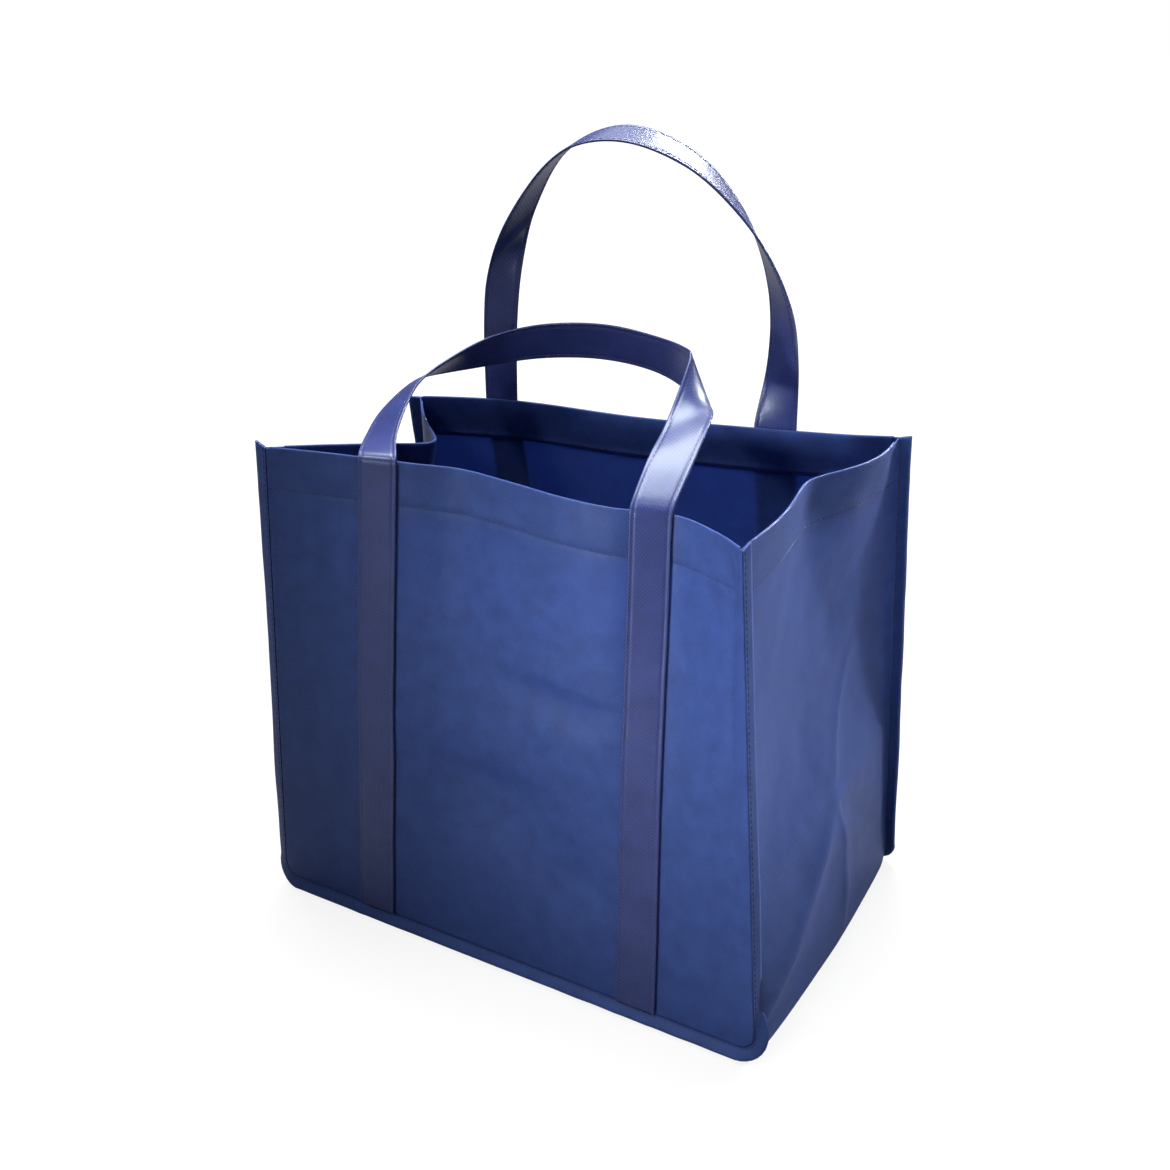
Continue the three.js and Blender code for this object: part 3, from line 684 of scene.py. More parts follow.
class SideCloth:
    """The long cloth between the seams of both panels. Its half 0 is at the front, and half 1 at the back."""

    def __init__(self, front, back, lines):
        self.feet = [front.foot, back.foot]
        self.lines = lines
        self.corners = [line["corner"] for line in lines]
        self.start = {
            hand: int(np.nonzero((SEAM.hand == hand) & (SEAM.row == ARC_STEPS))[0][0]) for hand in (-1, 1)
        }

    def wall(self, station, half, share):
        hand = SEAM.hand[station]
        height = SEAM.height[station]
        crease = RIGHT_CREASE if hand > 0 else LEFT_CREASE
        seam = self.corners[half][station]
        fold = crease_point(crease, height)
        share = share[:, None]
        if height > MEET_HEIGHT:
            rise = rise_over_meet(height)
            hollow = crease["hollow"][half] * bowed(rise)
            swell = crease["belly"][half] * rise ** crease["growth"][half] - hollow
            return mix(seam, fold, share) + hand * swell * np.sin(np.pi * share) * SIDEWAYS
        rise = rise_to_meet(height)
        slant = mix(self.corners[half][self.start[hand]], crease_place(crease, "meet"), rise)
        near = mix(seam, slant, share / max(rise, SMALL_RISE))
        far = mix(slant, fold, (share - rise) / max(1 - rise, SMALL_RISE))
        return np.where(share < rise, near, far) + hand * foot_belly(share) * (1 - rise) * SIDEWAYS

    def edge(self, hand, half, share):
        """Where the floor ends at the left or right, at shares of the way from a seam to the middle."""
        end = 0 if hand < 0 else 1
        return mix(self.feet[half][end][0], self.feet[1 - half][end][0], share / 2)

    def floor(self, station, half, share):
        hand = SEAM.hand[station]
        own = self.corners[half][station]
        other = self.corners[1 - half][station]
        y = mix(own[1], other[1], share / 2)
        lift = ramp(0, 1, np.maximum(0, 1 - np.abs(y - own[1]) / FLOOR_DIP))
        rounded = mix(FLOOR_ROUND, PANEL_ROUND, lift)
        if SEAM.row[station] == 0:
            left = self.edge(-1, half, share)
            right = self.edge(1, half, share)
            along = column_x(SEAM.column[station], HALF_WIDTH - rounded) / WIDTH + 0.5
            return np.stack([mix(left, right, along), y, mix(FLOOR_Z, own[2], lift)], axis=-1)
        turn = SEAM.turn[station]
        belly = foot_belly(share) * (1 - np.cos(turn))
        reach = hand * self.edge(hand, half, share) - rounded * (1 - np.sin(turn)) + belly
        z = mix(FLOOR_Z, SEAM_HEIGHT, lift) + rounded * (1 - np.cos(turn))
        return np.stack([hand * reach, y, z], axis=-1)

    def half_grid(self, half):
        rows = []
        for station in range(len(SEAM.row)):
            make = self.floor if SEAM.row[station] <= ARC_STEPS else self.wall
            points = make(station, half, CLOTH_SHARES)
            points[0] = self.corners[half][station]
            rows.append(points)
        return np.array(rows)

    def grid(self):
        """The cloth from the front seam to the back seam, one row for each place of the seam."""
        front = self.half_grid(0)
        back = self.half_grid(1)
        whole = np.concatenate([front, back[:, -2::-1]], axis=1)
        whole = self.rounded(softened(whole, CLOTH_PASSES))
        return whole + self.relief(whole)

    def rounded(self, grid):
        """The cloth with its upright creases rounded, the more so the higher they stand."""
        grid = grid.copy()
        middle = grid.shape[1] // 2
        first = middle - CREASE_REACH
        last = middle + CREASE_REACH + 1
        amount = CREASE_SOFTNESS * ramp(*CREASE_FADE, SEAM.height - MEET_HEIGHT)[:, None, None]
        for _ in range(CREASE_PASSES):
            near = (grid[:, first - 1:last - 1] + grid[:, first + 1:last + 1]) / 2
            grid[:, first:last] = mix(grid[:, first:last], near, amount)
        return grid

    def relief(self, grid):
        """Small waves and the lesser creases of the cloth, none at the seams, the rims or the floor."""
        outward = unit(np.cross(np.gradient(grid, axis=1), np.gradient(grid, axis=0)))
        shares = np.concatenate([CLOTH_SHARES, CLOTH_SHARES[-2::-1]])[None, :]
        height = SEAM.height[:, None]
        on_right = (SEAM.hand > 0)[:, None]
        on_side = np.abs(SEAM.hand)[:, None]
        rise = np.clip((height - PANEL_ROUND) / (PANEL_HEIGHT - PANEL_ROUND), 0, 1)
        calm = ramp(0, SIDE_CALM_SEAM, shares) * ramp(0, SIDE_CALM_FOOT, rise)
        calm = calm * ramp(0, SIDE_CALM_RIM, 1 - rise)
        u = grid[..., 1] + SIDE_ORIGIN
        v = grid[..., 2] + SIDE_ORIGIN + RIGHT_ORIGIN * on_right
        hem = furrow(PANEL_HEIGHT - height - HEM_STITCH, SIDE_HEM_FURROW)
        hem = on_side * hem * ramp(0, SIDE_FURROW_SEAM, shares)
        creases = on_right * self.right_creases(shares, height) * ramp(0, SIDE_CREASE_SEAM, shares)
        return outward * (calm * waves(u, v, SIDE_WAVES) + creases - hem)[..., None]

    def right_creases(self, shares, height):
        """The lesser creases of the right side, as heights over its plain form."""
        front = np.arange(shares.size) < len(CLOTH_SHARES)
        rise = rise_to_meet(height)
        low = np.clip(LOW_GROWTH * rise, 0, 1) * ramp(*LOW_END, rise)
        slant = crest(shares - rise, SLANT_FADE) * np.where(front, *SLANT_HEIGHTS)
        from_middle = (1 - shares) * HALF_DEPTH
        upright = UPRIGHT_HEIGHT * crest(from_middle, UPRIGHT_FADE)
        behind = np.where(front, -1, 1) * from_middle
        above = height - MEET_HEIGHT
        ray = RAY_HEIGHT * crest(behind - RAY_LEAN * above, RAY_FADE)
        ray = ray * ramp(*RAY_START, above) * ramp(*RAY_END, above)
        dent = SIDE_DENT_DEPTH * hill(behind - SIDE_DENT_PLACE[0], SIDE_DENT_SIZE[0])
        dent = dent * hill(above - SIDE_DENT_PLACE[1], SIDE_DENT_SIZE[1])
        return (slant + upright) * low + ray - dent

    def sheet(self):
        """The whole cloth, and for each side the numbers of its outer hem line and its hem."""
        sheet = Sheet()
        grid = self.grid()
        stations, keys = grid.shape[:2]
        steps = np.linalg.norm(np.diff(grid, axis=1), axis=2)
        across = np.concatenate([np.zeros((stations, 1)), np.cumsum(steps, axis=1)], axis=1)
        across -= across[:, [keys // 2]]
        down = np.repeat(running_length(grid[:, keys // 4])[:, None], keys, axis=1)
        flat = np.stack([across, down, np.full_like(across, 2)], axis=-1)
        fins = [[], []]
        fin_flat = [[], []]
        for half, (line, edge_key, side) in enumerate(zip(self.lines, (0, -1), (-1, 1))):
            for step in FIN_SHARES:
                fins[half].append(SEAM.fin_point(line, step, LAYER))
                fin_flat[half].append(flat[:, edge_key] + SIDEWAYS * side * FIN * step)
        columns = [*fins[0][::-1], *grid.transpose(1, 0, 2), *fins[1]]
        flats = [*fin_flat[0][::-1], *flat.transpose(1, 0, 2), *fin_flat[1]]
        numbers = sheet.add(np.array(columns).transpose(1, 0, 2), np.array(flats).transpose(1, 0, 2))
        sheet.join(numbers)

        hems = []
        for hand in (-1, 1):
            stations_up = np.nonzero(SEAM.hand == hand)[0]
            stations_up = stations_up[np.argsort(SEAM.row[stations_up])]
            wall = grid[stations_up]
            inward = unit(np.cross(np.gradient(wall, axis=1), np.gradient(wall, axis=0))) * -hand
            outer = np.concatenate([wall[:1], wall])[:, IN_HEM]
            inward = np.concatenate([inward[:1], inward])[:, IN_HEM]
            hem = hem_grid(outer, inward)
            hem_flat = np.broadcast_to(flat[stations_up[-1], IN_HEM], hem.shape).copy()
            hem_flat[..., 1] += np.linspace(0, HEM, len(hem))[:, None] * hand
            top = numbers[stations_up[-1], IN_FINS][IN_HEM]
            hem_numbers = np.vstack([top, sheet.add(hem, hem_flat)])
            sheet.join(hem_numbers if hand > 0 else hem_numbers[::-1])
            hems.append((numbers[stations_up[HEM_ROW - 1], IN_FINS], hem_numbers))
        return sheet.finish(), hems


# A strap's loop: points to each span, and how often and from how many rows before it its bends are softened.
LOOP_STEPS = 14
BEND_PASSES = 6
BEND_ROWS = 2

# A strap's section: how finely it is divided, how far its sewing pinches it, how far its middle swells, each
# over a width, and how its faces wander.
SECTION_STEP = 2.2
SECTION_FINE = 0.55
PINCH = (0.34, 0.8)
SWELL = (0.1, 7)
STRAP_WANDER = 0.06
STRAP_WANDER_LENGTH = 9
STRAP_SEED = 51


class Strap:
    """A strap goes up one side of its panel, through its loop and down the other side."""

    def __init__(self, panel, loop, fold=None):
        rows = np.arange(1, TOP_ROW + 1)
        self.sewn_rows = len(rows)

        def sewn(x):
            x = np.full(len(rows), x)
            plain = panel.at(x, ROW_HEIGHT[rows], sewn=False)
            return plain - panel.frame(x, ROW_HEIGHT[rows])[2] * STRAP_OFF

        lines = []
        rim_turn = np.array([0, 0, STRAP_RIM_TURN])
        for side in (-1, 1):
            edge = side * panel.facing * HALF_STRAP
            left = sewn(-HALF_SPACING + edge)
            right = sewn(HALF_SPACING - edge)
            path = [left[-1] + rim_turn]
            for number, (at, across) in enumerate(loop):
                middle = to_point(at, HEIGHT + at[2] * LOOP_RISE)
                reach = HALF_STRAP * (math.sqrt(2) if number == fold else 1)
                path.append(middle + side * unit(np.array(across, float)) * reach)
            path.append(right[-1] + rim_turn)
            lines.append(np.concatenate([left, self.loop_line(path, fold), right[::-1]]))
        first, second = self.rounded(np.array(lines))
        self.middle = (first + second) / 2
        self.half = np.linalg.norm(second - first, axis=1) / 2
        self.across = unit(second - first)
        self.normal = unit(np.cross(self.across, unit(np.gradient(self.middle, axis=0))))
        self.length = running_length(self.middle)

    def loop_line(self, path, fold):
        """A smooth line through the places of a path, or two of them that meet at the fold."""
        parts = [path] if fold is None else [path[:fold + 2], path[fold + 1:]]
        lines = []
        for part in parts:
            steps = np.linspace(0, 1, (len(part) - 1) * LOOP_STEPS + 1)
            lines.append(spline(part, steps))
        return np.concatenate([lines[0], *(line[1:] for line in lines[1:])])

    def rounded(self, lines):
        """The strap's bends at the rims and at the fold are soft, over a few millimetres."""
        count = lines.shape[1]
        loop = np.zeros(count, bool)
        loop[self.sewn_rows - BEND_ROWS: count - self.sewn_rows + BEND_ROWS] = True
        for _ in range(BEND_PASSES):
            smooth = lines.copy()
            smooth[:, 1:-1] = (lines[:, :-2] + 2 * lines[:, 1:-1] + lines[:, 2:]) / 4
            lines = np.where(loop[None, :, None], smooth, lines)
        return lines

    def surface(self, place, across, out):
        """A point at a row, some way from the strap's middle line and out of its middle layer."""
        return self.middle[place] + self.across[place] * across + self.normal[place] * out

    def profile(self):
        """The section of the folded strap: rounded edges, and pinched where it is sewn."""
        lines = [-HALF_STRAP, -STITCH_OFFSET, STITCH_OFFSET, HALF_STRAP]
        s = graded(-HALF_STRAP, HALF_STRAP, SECTION_STEP, lines, fine=SECTION_FINE)
        past_flat = np.clip((np.abs(s) - HALF_STRAP + STRAP / 2) / (STRAP / 2), 0, 1)
        edge = np.sqrt(np.clip(1 - past_flat**2, 0, 1))
        return s, STRAP / 2 * edge * (1 - furrow(np.abs(s) - STITCH_OFFSET, PINCH) + furrow(s, SWELL))

    def solid(self, name):
        s, out = self.profile()
        share = s / HALF_STRAP
        around = np.concatenate([share, share[-2:0:-1]])
        lift = np.concatenate([out, -out[-2:0:-1]])
        noise = clouds(self.length, np.zeros_like(self.length), STRAP_WANDER_LENGTH, STRAP_SEED)
        lift = lift + STRAP_WANDER * noise[:, None] * np.sign(lift)
        points = (
            self.middle[:, None]
            + (self.across * self.half[:, None])[:, None] * around[None, :, None]
            + self.normal[:, None] * lift[..., None]
        )
        numbers = np.arange(lift.size).reshape(lift.shape)
        ring = np.concatenate([numbers, numbers[:, :1]], axis=1)
        ends = [numbers[0].tolist(), numbers[-1, ::-1].tolist()]
        faces = [*grid_quads(ring.T).tolist(), *ends]
        flat = np.broadcast_arrays(around[None, :] * HALF_STRAP, self.length[:, None], 3.0)
        return mesh_object(name, points, faces, np.stack(flat, axis=-1), len(ends))


# Sewing thread. A stitch has rings at shares of its length, each with a height and a share of its thickness.
STITCH_SIDES = 5
STITCH_RINGS = [(-0.5, -0.22, 0.7), (-0.32, 0.04, 1), (0, 0.1, 1), (0.32, 0.04, 1), (0.5, -0.22, 0.7)]
STITCH_NEARBY = 0.5


class Thread:
    """Collects the stitches of many lines into one mesh."""

    def __init__(self):
        self.centres = []
        self.alongs = []
        self.outs = []

    def line(self, points, outs):
        """Stitches along a line on a surface whose outward direction is given at each point."""
        length = running_length(points)
        count = int(length[-1] / STITCH_PITCH)
        if count < 1:
            return
        places = (np.arange(count) + 0.5) * length[-1] / count

        def taken(values, where):
            return np.stack([np.interp(where, length, values[:, k]) for k in range(3)], axis=-1)

        self.centres.append(taken(points, places))
        step = taken(points, places + STITCH_NEARBY) - taken(points, places - STITCH_NEARBY)
        self.alongs.append(unit(step))
        self.outs.append(unit(taken(outs, places)))

    def solid(self, name):
        centres = np.vstack(self.centres)
        along = np.vstack(self.alongs)
        side = unit(np.cross(along, np.vstack(self.outs)))
        out = unit(np.cross(side, along))
        corners = []
        for place, lift, wide in STITCH_RINGS:
            radius = wide * THREAD / 2
            for turn in np.arange(STITCH_SIDES) * 2 * np.pi / STITCH_SIDES:
                across = radius * math.cos(turn)
                corners.append((place * STITCH_LENGTH, across, lift + radius * math.sin(turn)))
        corners = np.array(corners)
        points = (
            centres[:, None]
            + along[:, None] * corners[None, :, :1]
            + side[:, None] * corners[None, :, 1:2]
            + out[:, None] * corners[None, :, 2:]
        )
        numbers = np.arange(len(corners)).reshape(-1, STITCH_SIDES)
        ring = np.concatenate([numbers, numbers[:, :1]], axis=1)
        ends = np.array([numbers[0, ::-1], numbers[-1]])
        faces = []
        for kind in (grid_quads(ring), ends):
            every = kind[None] + (np.arange(len(centres)) * len(corners))[:, None, None]
            faces += every.reshape(-1, kind.shape[1]).tolist()
        return mesh_object(name, points, faces)


# Materials. The colour inputs and the colour output of a Mix node have these numbers.
MIX_SHARE = 0
MIX_FIRST = 6
MIX_SECOND = 7
MIX_RESULT = 2


def new_material(name):
    material = bpy.data.materials.new(name)
    material.use_nodes = True
    material.node_tree.nodes.clear()
    return material, material.node_tree


def add_node(tree, kind, inputs=None, **settings):
    """A node with its settings. Each input, by name or number, takes a value or another node's output."""
    node = tree.nodes.new(kind)
    for key, value in settings.items():
        setattr(node, key, value)
    for key, value in (inputs or {}).items():
        if isinstance(value, bpy.types.NodeSocket):
            tree.links.new(value, node.inputs[key])
        else:
            node.inputs[key].default_value = value
    return node


def math_node(tree, operation, *values):
    return add_node(tree, "ShaderNodeMath", dict(enumerate(values)), operation=operation).outputs[0]


def weighed(tree, operation, first, first_share, second, second_share):
    """Two values, each times its share, added or taken from each other."""
    first = math_node(tree, "MULTIPLY", first, first_share)
    return math_node(tree, operation, first, math_node(tree, "MULTIPLY", second, second_share))


def blend_colour(tree, share, first, second):
    inputs = {MIX_SHARE: share, MIX_FIRST: first, MIX_SECOND: second}
    return add_node(tree, "ShaderNodeMix", inputs, data_type="RGBA").outputs[MIX_RESULT]


def map_range(tree, value, taken, given=(0, 1), kind="LINEAR"):
    inputs = {"Value": value}
    inputs.update(zip(("From Min", "From Max", "To Min", "To Max"), (*taken, *given)))
    return add_node(tree, "ShaderNodeMapRange", inputs, interpolation_type=kind).outputs["Result"]


def stretched_noise(tree, place, scale, detail, stretch=(1, 1, 1), distortion=0.0):
    mapping = add_node(tree, "ShaderNodeMapping", {"Vector": place, "Scale": stretch})
    inputs = {"Vector": mapping.outputs[0], "Scale": scale, "Detail": detail, "Distortion": distortion}
    return add_node(tree, "ShaderNodeTexNoise", inputs).outputs["Fac"]


def show(tree, shader):
    add_node(tree, "ShaderNodeOutputMaterial", {"Surface": shader.outputs[0]})


def rgb(red, green, blue):
    """A screen colour of 0 to 255 as the linear colour that a shader takes."""
    linear = []
    for value in (red, green, blue):
        share = value / 255
        linear.append(share / 12.92 if share <= 0.04045 else ((share + 0.055) / 1.055) ** 2.4)
    return (*linear, 1.0)


# Non-woven cloth: the pitch and edge of its pressed points, its fibres both ways, its thicker places, how
# these make its tone and its height, and how much smoother a pressed point is.
BOND_PITCH = 2.3
BOND_EDGE = (0.35, 0.75)
FIBRES = {"scale": 0.9, "detail": 6, "stretch": (1, 0.35, 1), "distortion": 1.2}
CROSS_FIBRES = {"scale": 1.1, "detail": 5, "stretch": (0.3, 1, 1), "distortion": 0.9}
LUMPS = {"scale": 0.09, "detail": 4}
FIBRE_TONE = 0.7
LUMP_TONE = 0.45
TONE_RANGE = (0.38, 0.78)
BOND_TONE = 0.35
FIBRE_HEIGHT = 0.5
BOND_HEIGHT = 0.6
BOND_SHINE = 0.14
SHINE_TINT = (0.82, 0.93, 1.0, 1.0)
SHEEN = 0.04
SHEEN_ROUGHNESS = 0.4
SHEEN_TINT = rgb(190, 205, 255)


def spunbond(name, deep, pale, see_through, through_colour, roughness, bond_depth, gloss):
    """Non-woven cloth: clouds of fibres, a lattice of small pressed points, and light that comes through."""
    material, tree = new_material(name)
    place = add_node(tree, "ShaderNodeAttribute", attribute_name="cloth").outputs["Vector"]
    split = add_node(tree, "ShaderNodeSeparateXYZ", {0: place})
    turn = 2 * math.pi / BOND_PITCH
    rows = [math_node(tree, "SINE", math_node(tree, "MULTIPLY", split.outputs[k], turn)) for k in (0, 1)]
    bonds = map_range(tree, math_node(tree, "MULTIPLY", *rows), BOND_EDGE, kind="SMOOTHSTEP")
    fibres = stretched_noise(tree, place, **FIBRES)
    cross_fibres = stretched_noise(tree, place, **CROSS_FIBRES)
    fibre = math_node(tree, "MULTIPLY", math_node(tree, "ADD", fibres, cross_fibres), 0.5)
    tone = weighed(tree, "ADD", fibre, FIBRE_TONE, stretched_noise(tree, place, **LUMPS), LUMP_TONE)
    colour = blend_colour(tree, map_range(tree, tone, TONE_RANGE), deep, pale)
    colour = blend_colour(tree, math_node(tree, "MULTIPLY", bonds, BOND_TONE), colour, deep)
    height = weighed(tree, "SUBTRACT", fibre, FIBRE_HEIGHT, bonds, BOND_HEIGHT)
    bump = add_node(tree, "ShaderNodeBump", {"Strength": 1.0, "Distance": bond_depth * MM, "Height": height})
    looks = {
        "Base Color": colour,
        "Roughness": map_range(tree, bonds, (0, 1), (roughness, roughness - BOND_SHINE)),
        "Normal": bump.outputs[0],
        "Specular IOR Level": gloss,
        "Specular Tint": SHINE_TINT,
        "Sheen Weight": SHEEN,
        "Sheen Roughness": SHEEN_ROUGHNESS,
        "Sheen Tint": SHEEN_TINT,
    }
    surface = add_node(tree, "ShaderNodeBsdfPrincipled", looks)
    through = add_node(tree, "ShaderNodeBsdfTranslucent", {"Color": through_colour})
    shaders = {"Fac": see_through, 1: surface.outputs[0], 2: through.outputs[0]}
    show(tree, add_node(tree, "ShaderNodeMixShader", shaders))
    return material


def thread_material():
    material, tree = new_material("sewing thread")
    place = add_node(tree, "ShaderNodeTexCoord").outputs["Object"]
    twist = stretched_noise(tree, place, scale=2600, detail=2)
    # The thread's two navy tones are darker than the cloth: partly the thread's own colour, and partly
    # painted shade of the furrow that the stitches sink into.
    looks = {"Base Color": blend_colour(tree, twist, rgb(22, 28, 60), rgb(38, 48, 94)), "Roughness": 0.5}
    show(tree, add_node(tree, "ShaderNodeBsdfPrincipled", looks))
    return material


def board_material():
    material, tree = new_material("stiffening board")
    place = add_node(tree, "ShaderNodeTexCoord").outputs["Object"]
    grain = stretched_noise(tree, place, scale=900, detail=4, stretch=(1, 0.3, 1))
    scuffs = stretched_noise(tree, place, scale=22, detail=5)
    bump = add_node(tree, "ShaderNodeBump", {"Strength": 0.5, "Distance": 0.05 * MM, "Height": grain})
    looks = {
        "Base Color": blend_colour(tree, scuffs, rgb(36, 38, 46), rgb(58, 60, 70)),
        "Normal": bump.outputs[0],
        "Roughness": 0.48,
    }
    show(tree, add_node(tree, "ShaderNodeBsdfPrincipled", looks))
    return material


# The pieces.
FRONT_SEED = 71
BACK_SEED = 81


def dress(piece, material, node=None):
    piece.data.materials.append(material)
    if node:
        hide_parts(node)
    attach(piece, "root")
    return piece


front = Panel(FRONT, front_relief)
back = Panel(BACK, back_relief)
seam_lines = [SEAM.on(front, FRONT_SEED), SEAM.on(back, BACK_SEED)]
front_sheet, front_grid, front_hem = panel_sheet(front, seam_lines[0])
back_sheet, back_grid, back_hem = panel_sheet(back, seam_lines[1])
side_sheet, side_hems = SideCloth(front, back, seam_lines).sheet()
front_strap = Strap(front, FRONT_LOOP, FRONT_FOLD)
rear_strap = Strap(back, REAR_LOOP)

cloth = spunbond(
    "navy spunbond cloth",
    deep=rgb(40, 56, 108),
    pale=rgb(56, 82, 148),
    see_through=0.24,
    through_colour=rgb(110, 140, 215),
    roughness=0.5,
    bond_depth=0.28,
    gloss=0.3,
)
webbing = spunbond(
    "navy folded strap",
    deep=rgb(35, 42, 87),
    pale=rgb(47, 58, 117),
    see_through=0.04,
    through_colour=rgb(60, 80, 160),
    roughness=0.36,
    bond_depth=0.04,
    gloss=0.5,
)
thread = thread_material()

front_cloth = dress(front_sheet.solid("front_panel_cloth"), cloth, "front_panel")
back_cloth = dress(back_sheet.solid("back_panel_cloth"), cloth, "back_panel")
side_cloth = dress(side_sheet.solid("side_and_floor_cloth"), cloth, "side_and_floor")
front_handle = dress(front_strap.solid("front_handle_strap"), webbing, "front_handle")
rear_handle = dress(rear_strap.solid("rear_handle_strap"), webbing, "rear_handle")
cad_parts["bottom_board"].data.materials.clear()
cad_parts["bottom_board"].data.materials.append(board_material())

# Thread on a strap lies in the pinched cloth, at a share of the strap's half thickness. The hem's line ends
# a little inside the strap's edges.
PINCHED = 0.68
FOOT_LINE_END = 0.6
FOOT_LINE_POINTS = 12


def panel_sewing(name, panel, sheet, grid, hem_numbers, line):
    """The stitches of a panel's hem, outside and inside, and of its seam on the panel's face of the fin."""
    sewing = Thread()
    outer = grid[HEM_ROW]
    out = sheet.normals[outer]
    inward = panel.frame(COLUMN_X, ROW_HEIGHT[HEM_ROW])[2]
    out = out * np.sign(np.sum(out * -inward, axis=1))[:, None]
    points = sheet.points[outer] + out * CLOTH / 2
    clear = np.abs(np.abs(COLUMN_X) - HALF_SPACING) > HALF_STRAP
    for run in np.split(np.arange(len(COLUMN_X)), np.nonzero(np.diff(clear))[0] + 1):
        if clear[run[0]]:
            sewing.line(points[run], out[run])
    inside = hem_numbers[STITCHED_HEM_ROW]
    inner = -out[HEM_START:-HEM_START]
    sewing.line(sheet.points[inside] + inner * CLOTH / 2, inner)
    seam = line["here"] + line["fin"] * SEAM_STITCH
    sewing.line(seam - line["inner"] * CLOTH / 2, -line["inner"])
    return sewing.solid(name)


def strap_sewing(name, strap):
    """Stitches along both edges of a strap, on both faces of its loop, and the hem's line across its feet."""
    sewing = Thread()
    rows = np.arange(len(strap.length))
    loop = rows[strap.sewn_rows:-strap.sewn_rows]
    surface = STRAP / 2 * PINCHED
    for edge in (-1, 1):
        sewing.line(strap.surface(rows, edge * STITCH_OFFSET, surface), strap.normal)
        sewing.line(strap.surface(loop, edge * STITCH_OFFSET, -surface), -strap.normal[loop])
    reach = HALF_STRAP - FOOT_LINE_END
    across = np.linspace(-reach, reach, FOOT_LINE_POINTS)[:, None]
    for row in (HEM_ROW - 1, len(rows) - HEM_ROW):
        outs = np.repeat(strap.normal[[row]], len(across), axis=0)
        sewing.line(strap.surface([row], across, STRAP / 2), outs)
    return sewing.solid(name)


def side_sewing(name):
    """The stitches of the sides' hems, and of both seams on the side cloth's face of the fin."""
    sewing = Thread()
    kept = slice(NEAR_SEAM_STEPS, -NEAR_SEAM_STEPS)
    for outer, hem_numbers in side_hems:
        away = side_sheet.normals[outer]
        inside = hem_numbers[STITCHED_HEM_ROW]
        middle = side_sheet.points[inside].mean(axis=0) - side_sheet.points[outer].mean(axis=0)
        away = away * -np.sign(np.sum(away.mean(axis=0) * middle))
        sewing.line((side_sheet.points[outer] + away * CLOTH / 2)[kept], away[kept])
        inner = -away[IN_HEM]
        sewing.line(side_sheet.points[inside] + inner * CLOTH / 2, inner)
    for line in seam_lines:
        seam = line["here"] + line["fin"] * SEAM_STITCH
        sewing.line(seam + line["inner"] * (LAYER + CLOTH / 2), line["inner"])
    return sewing.solid(name)


front_sewing = panel_sewing("front_panel_stitches", front, front_sheet, front_grid, front_hem, seam_lines[0])
front_thread = dress(front_sewing, thread)
back_sewing = panel_sewing("back_panel_stitches", back, back_sheet, back_grid, back_hem, seam_lines[1])
back_thread = dress(back_sewing, thread)
side_thread = dress(side_sewing("side_stitches"), thread)
front_strap_thread = dress(strap_sewing("front_handle_stitches", front_strap), thread)
rear_strap_thread = dress(strap_sewing("rear_handle_stitches", rear_strap), thread)


# The floor, in metres, lies a little under the bag, in millimetres. A camera ray sees it dark under a white
# glow, so the bag's shadow shows. Other rays see a grey floor and a dim world.
FLOOR_REACH = 15
FLOOR_GAP = 0.2
FLOOR_GREY = (0.3, 0.3, 0.3, 1)
FLOOR_SEEN = (0.14, 0.14, 0.14, 1)
GLOW_DISTANCES = (0.3, 1.6)
GLOW = (0.84, 1.0)
WORLD_LIGHT = 0.08


def floor_and_world():
    mesh = bpy.data.meshes.new("floor")
    corners = [(-1, -1), (1, -1), (1, 1), (-1, 1)]
    below = -FLOOR_GAP * MM
    mesh.from_pydata([(x * FLOOR_REACH, y * FLOOR_REACH, below) for x, y in corners], [], [(0, 1, 2, 3)])
    floor = into_scene("floor", mesh)
    material, tree = new_material("pale floor")
    seen = add_node(tree, "ShaderNodeLightPath").outputs["Is Camera Ray"]
    grey = blend_colour(tree, seen, FLOOR_GREY, FLOOR_SEEN)
    matt = add_node(tree, "ShaderNodeBsdfDiffuse", {"Color": grey})
    place = add_node(tree, "ShaderNodeNewGeometry").outputs["Position"]
    distance = add_node(tree, "ShaderNodeVectorMath", {0: place}, operation="LENGTH").outputs["Value"]
    glow = map_range(tree, distance, GLOW_DISTANCES, GLOW, "SMOOTHSTEP")
    light = add_node(tree, "ShaderNodeEmission", {"Strength": math_node(tree, "MULTIPLY", seen, glow)})
    show(tree, add_node(tree, "ShaderNodeAddShader", {0: matt.outputs[0], 1: light.outputs[0]}))
    mesh.materials.append(material)

    world = bpy.data.worlds.new("studio")
    bpy.context.scene.world = world
    world.use_nodes = True
    tree = world.node_tree
    background = tree.nodes["Background"]
    seen = add_node(tree, "ShaderNodeLightPath").outputs["Is Camera Ray"]
    background.inputs["Color"].default_value = (1, 1, 1, 1)
    strength = math_node(tree, "ADD", math_node(tree, "MULTIPLY", seen, 1 - WORLD_LIGHT), WORLD_LIGHT)
    tree.links.new(strength, background.inputs["Strength"])


def soft_light(name, place, target, size, watts, spread=180):
    """A lamp at a place in metres, turned to a target, with its light kept to a spread in degrees."""
    lamp = bpy.data.lights.new(name, "AREA")
    lamp.shape = "RECTANGLE"
    lamp.size, lamp.size_y = size
    lamp.energy = watts
    lamp.spread = math.radians(spread)
    made = into_scene(name, lamp)
    made.location = place
    made.rotation_euler = (Vector(target) - Vector(place)).to_track_quat("-Z", "Y").to_euler()


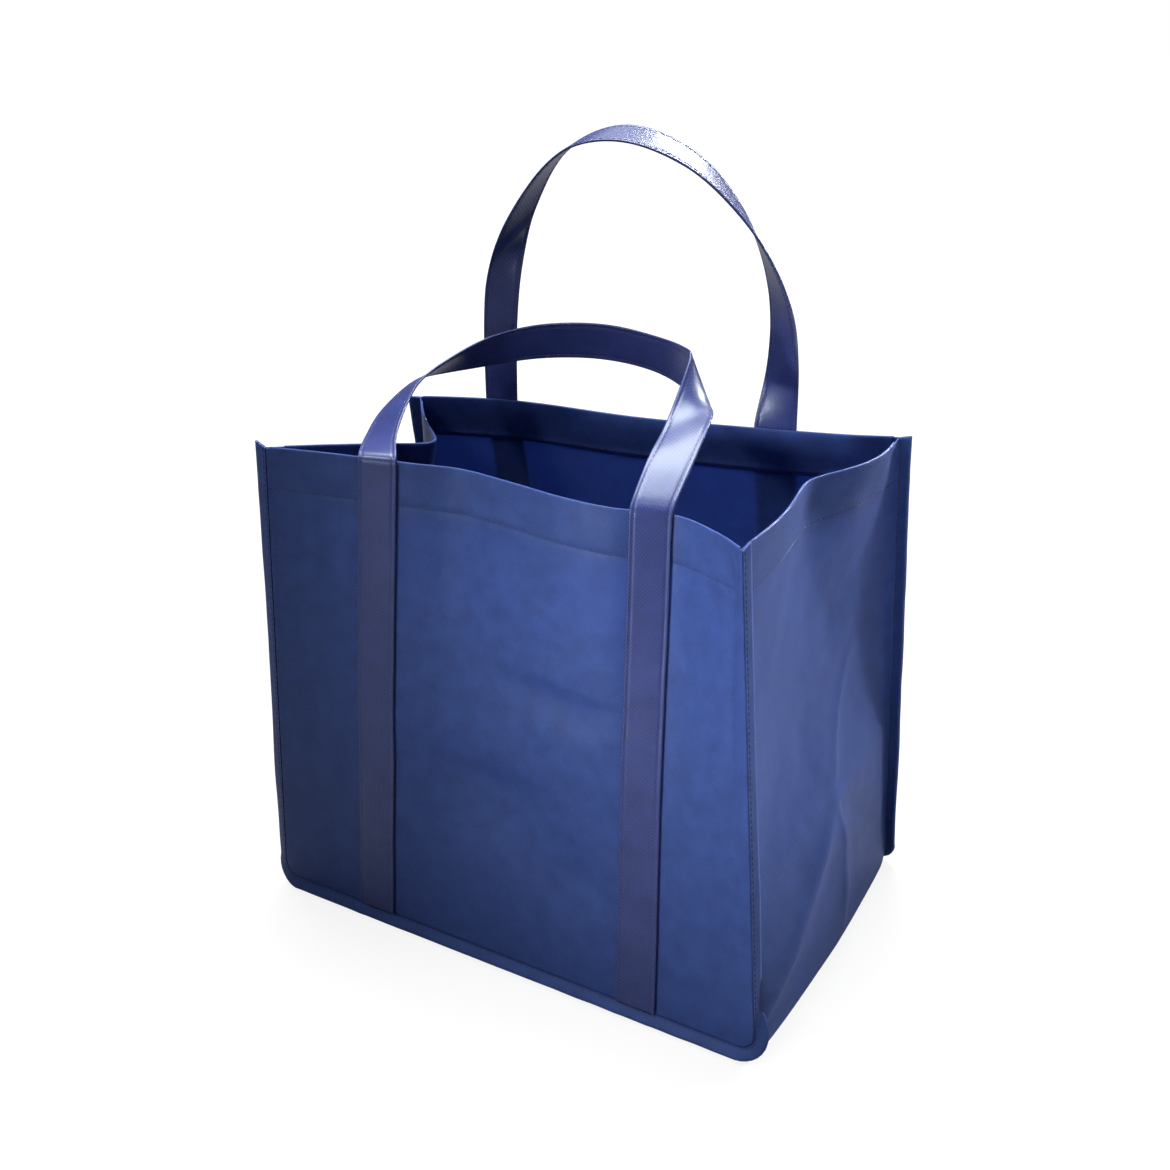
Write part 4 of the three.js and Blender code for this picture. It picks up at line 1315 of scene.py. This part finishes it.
# The camera was fitted to the photograph, in millimetres and degrees, with its focal length in pixels.
CAMERA_TARGET = (-4.1, 0, 205.7)
CAMERA_AZIMUTH = 29.56
CAMERA_ELEVATION = 24.94
CAMERA_DISTANCE = 984
FOCAL_PIXELS = 1643
PHOTO_PIXELS = 1170
SENSOR = 36
CLIP_END = 100


def camera():
    lens = bpy.data.cameras.new("camera")
    lens.sensor_width = SENSOR
    lens.lens = FOCAL_PIXELS / PHOTO_PIXELS * SENSOR
    lens.clip_end = CLIP_END
    made = into_scene("camera", lens)
    azimuth = math.radians(CAMERA_AZIMUTH)
    elevation = math.radians(CAMERA_ELEVATION)
    flat = math.cos(elevation)
    back_to_eye = Vector((math.sin(azimuth) * flat, -math.cos(azimuth) * flat, math.sin(elevation)))
    target = Vector(CAMERA_TARGET) * MM
    made.location = target + back_to_eye * CAMERA_DISTANCE * MM
    made.rotation_euler = (-back_to_eye).to_track_quat("-Z", "Y").to_euler()
    bpy.context.scene.camera = made


floor_and_world()
soft_light("overhead", (-0.35, 0.4, 2.0), (0, 0, 0.25), (1.2, 1.0), 82)
soft_light("back", (0.0, 1.95, 1.5), (0, 0, 0.3), (3.0, 1.5), 22)
soft_light("handle left", (-0.25, 1.82, 1.62), (0.0, 0.07, 0.46), (1.0, 0.3), 0.5, spread=10)
soft_light("handle right", (0.05, 1.95, 1.5), (0.0, 0.07, 0.45), (0.5, 0.3), 0.22, spread=10)
soft_light("left", (-0.65, -2.0, 0.4), (0.16, -0.1, 0.25), (0.2, 0.2), 0.35, spread=15)
soft_light("front", (-0.9, -1.2, 1.9), (0.1, -0.1, 0.22), (0.3, 0.3), 0.46, spread=18)
soft_light("right", (0.98, 2.05, 1.15), (0.17, -0.28, 0.13), (0.3, 0.3), 1.25, spread=13)
soft_light("mouth", (0.1, -0.75, 2.2), (0.03, 0.03, 0.24), (0.3, 0.3), 0.04, spread=12)
soft_light("fill", (1.7, -1.5, 0.45), (0.16, 0.09, 0.24), (0.2, 0.2), 0.18, spread=14)
camera()
bpy.context.scene.view_settings.view_transform = "Standard"
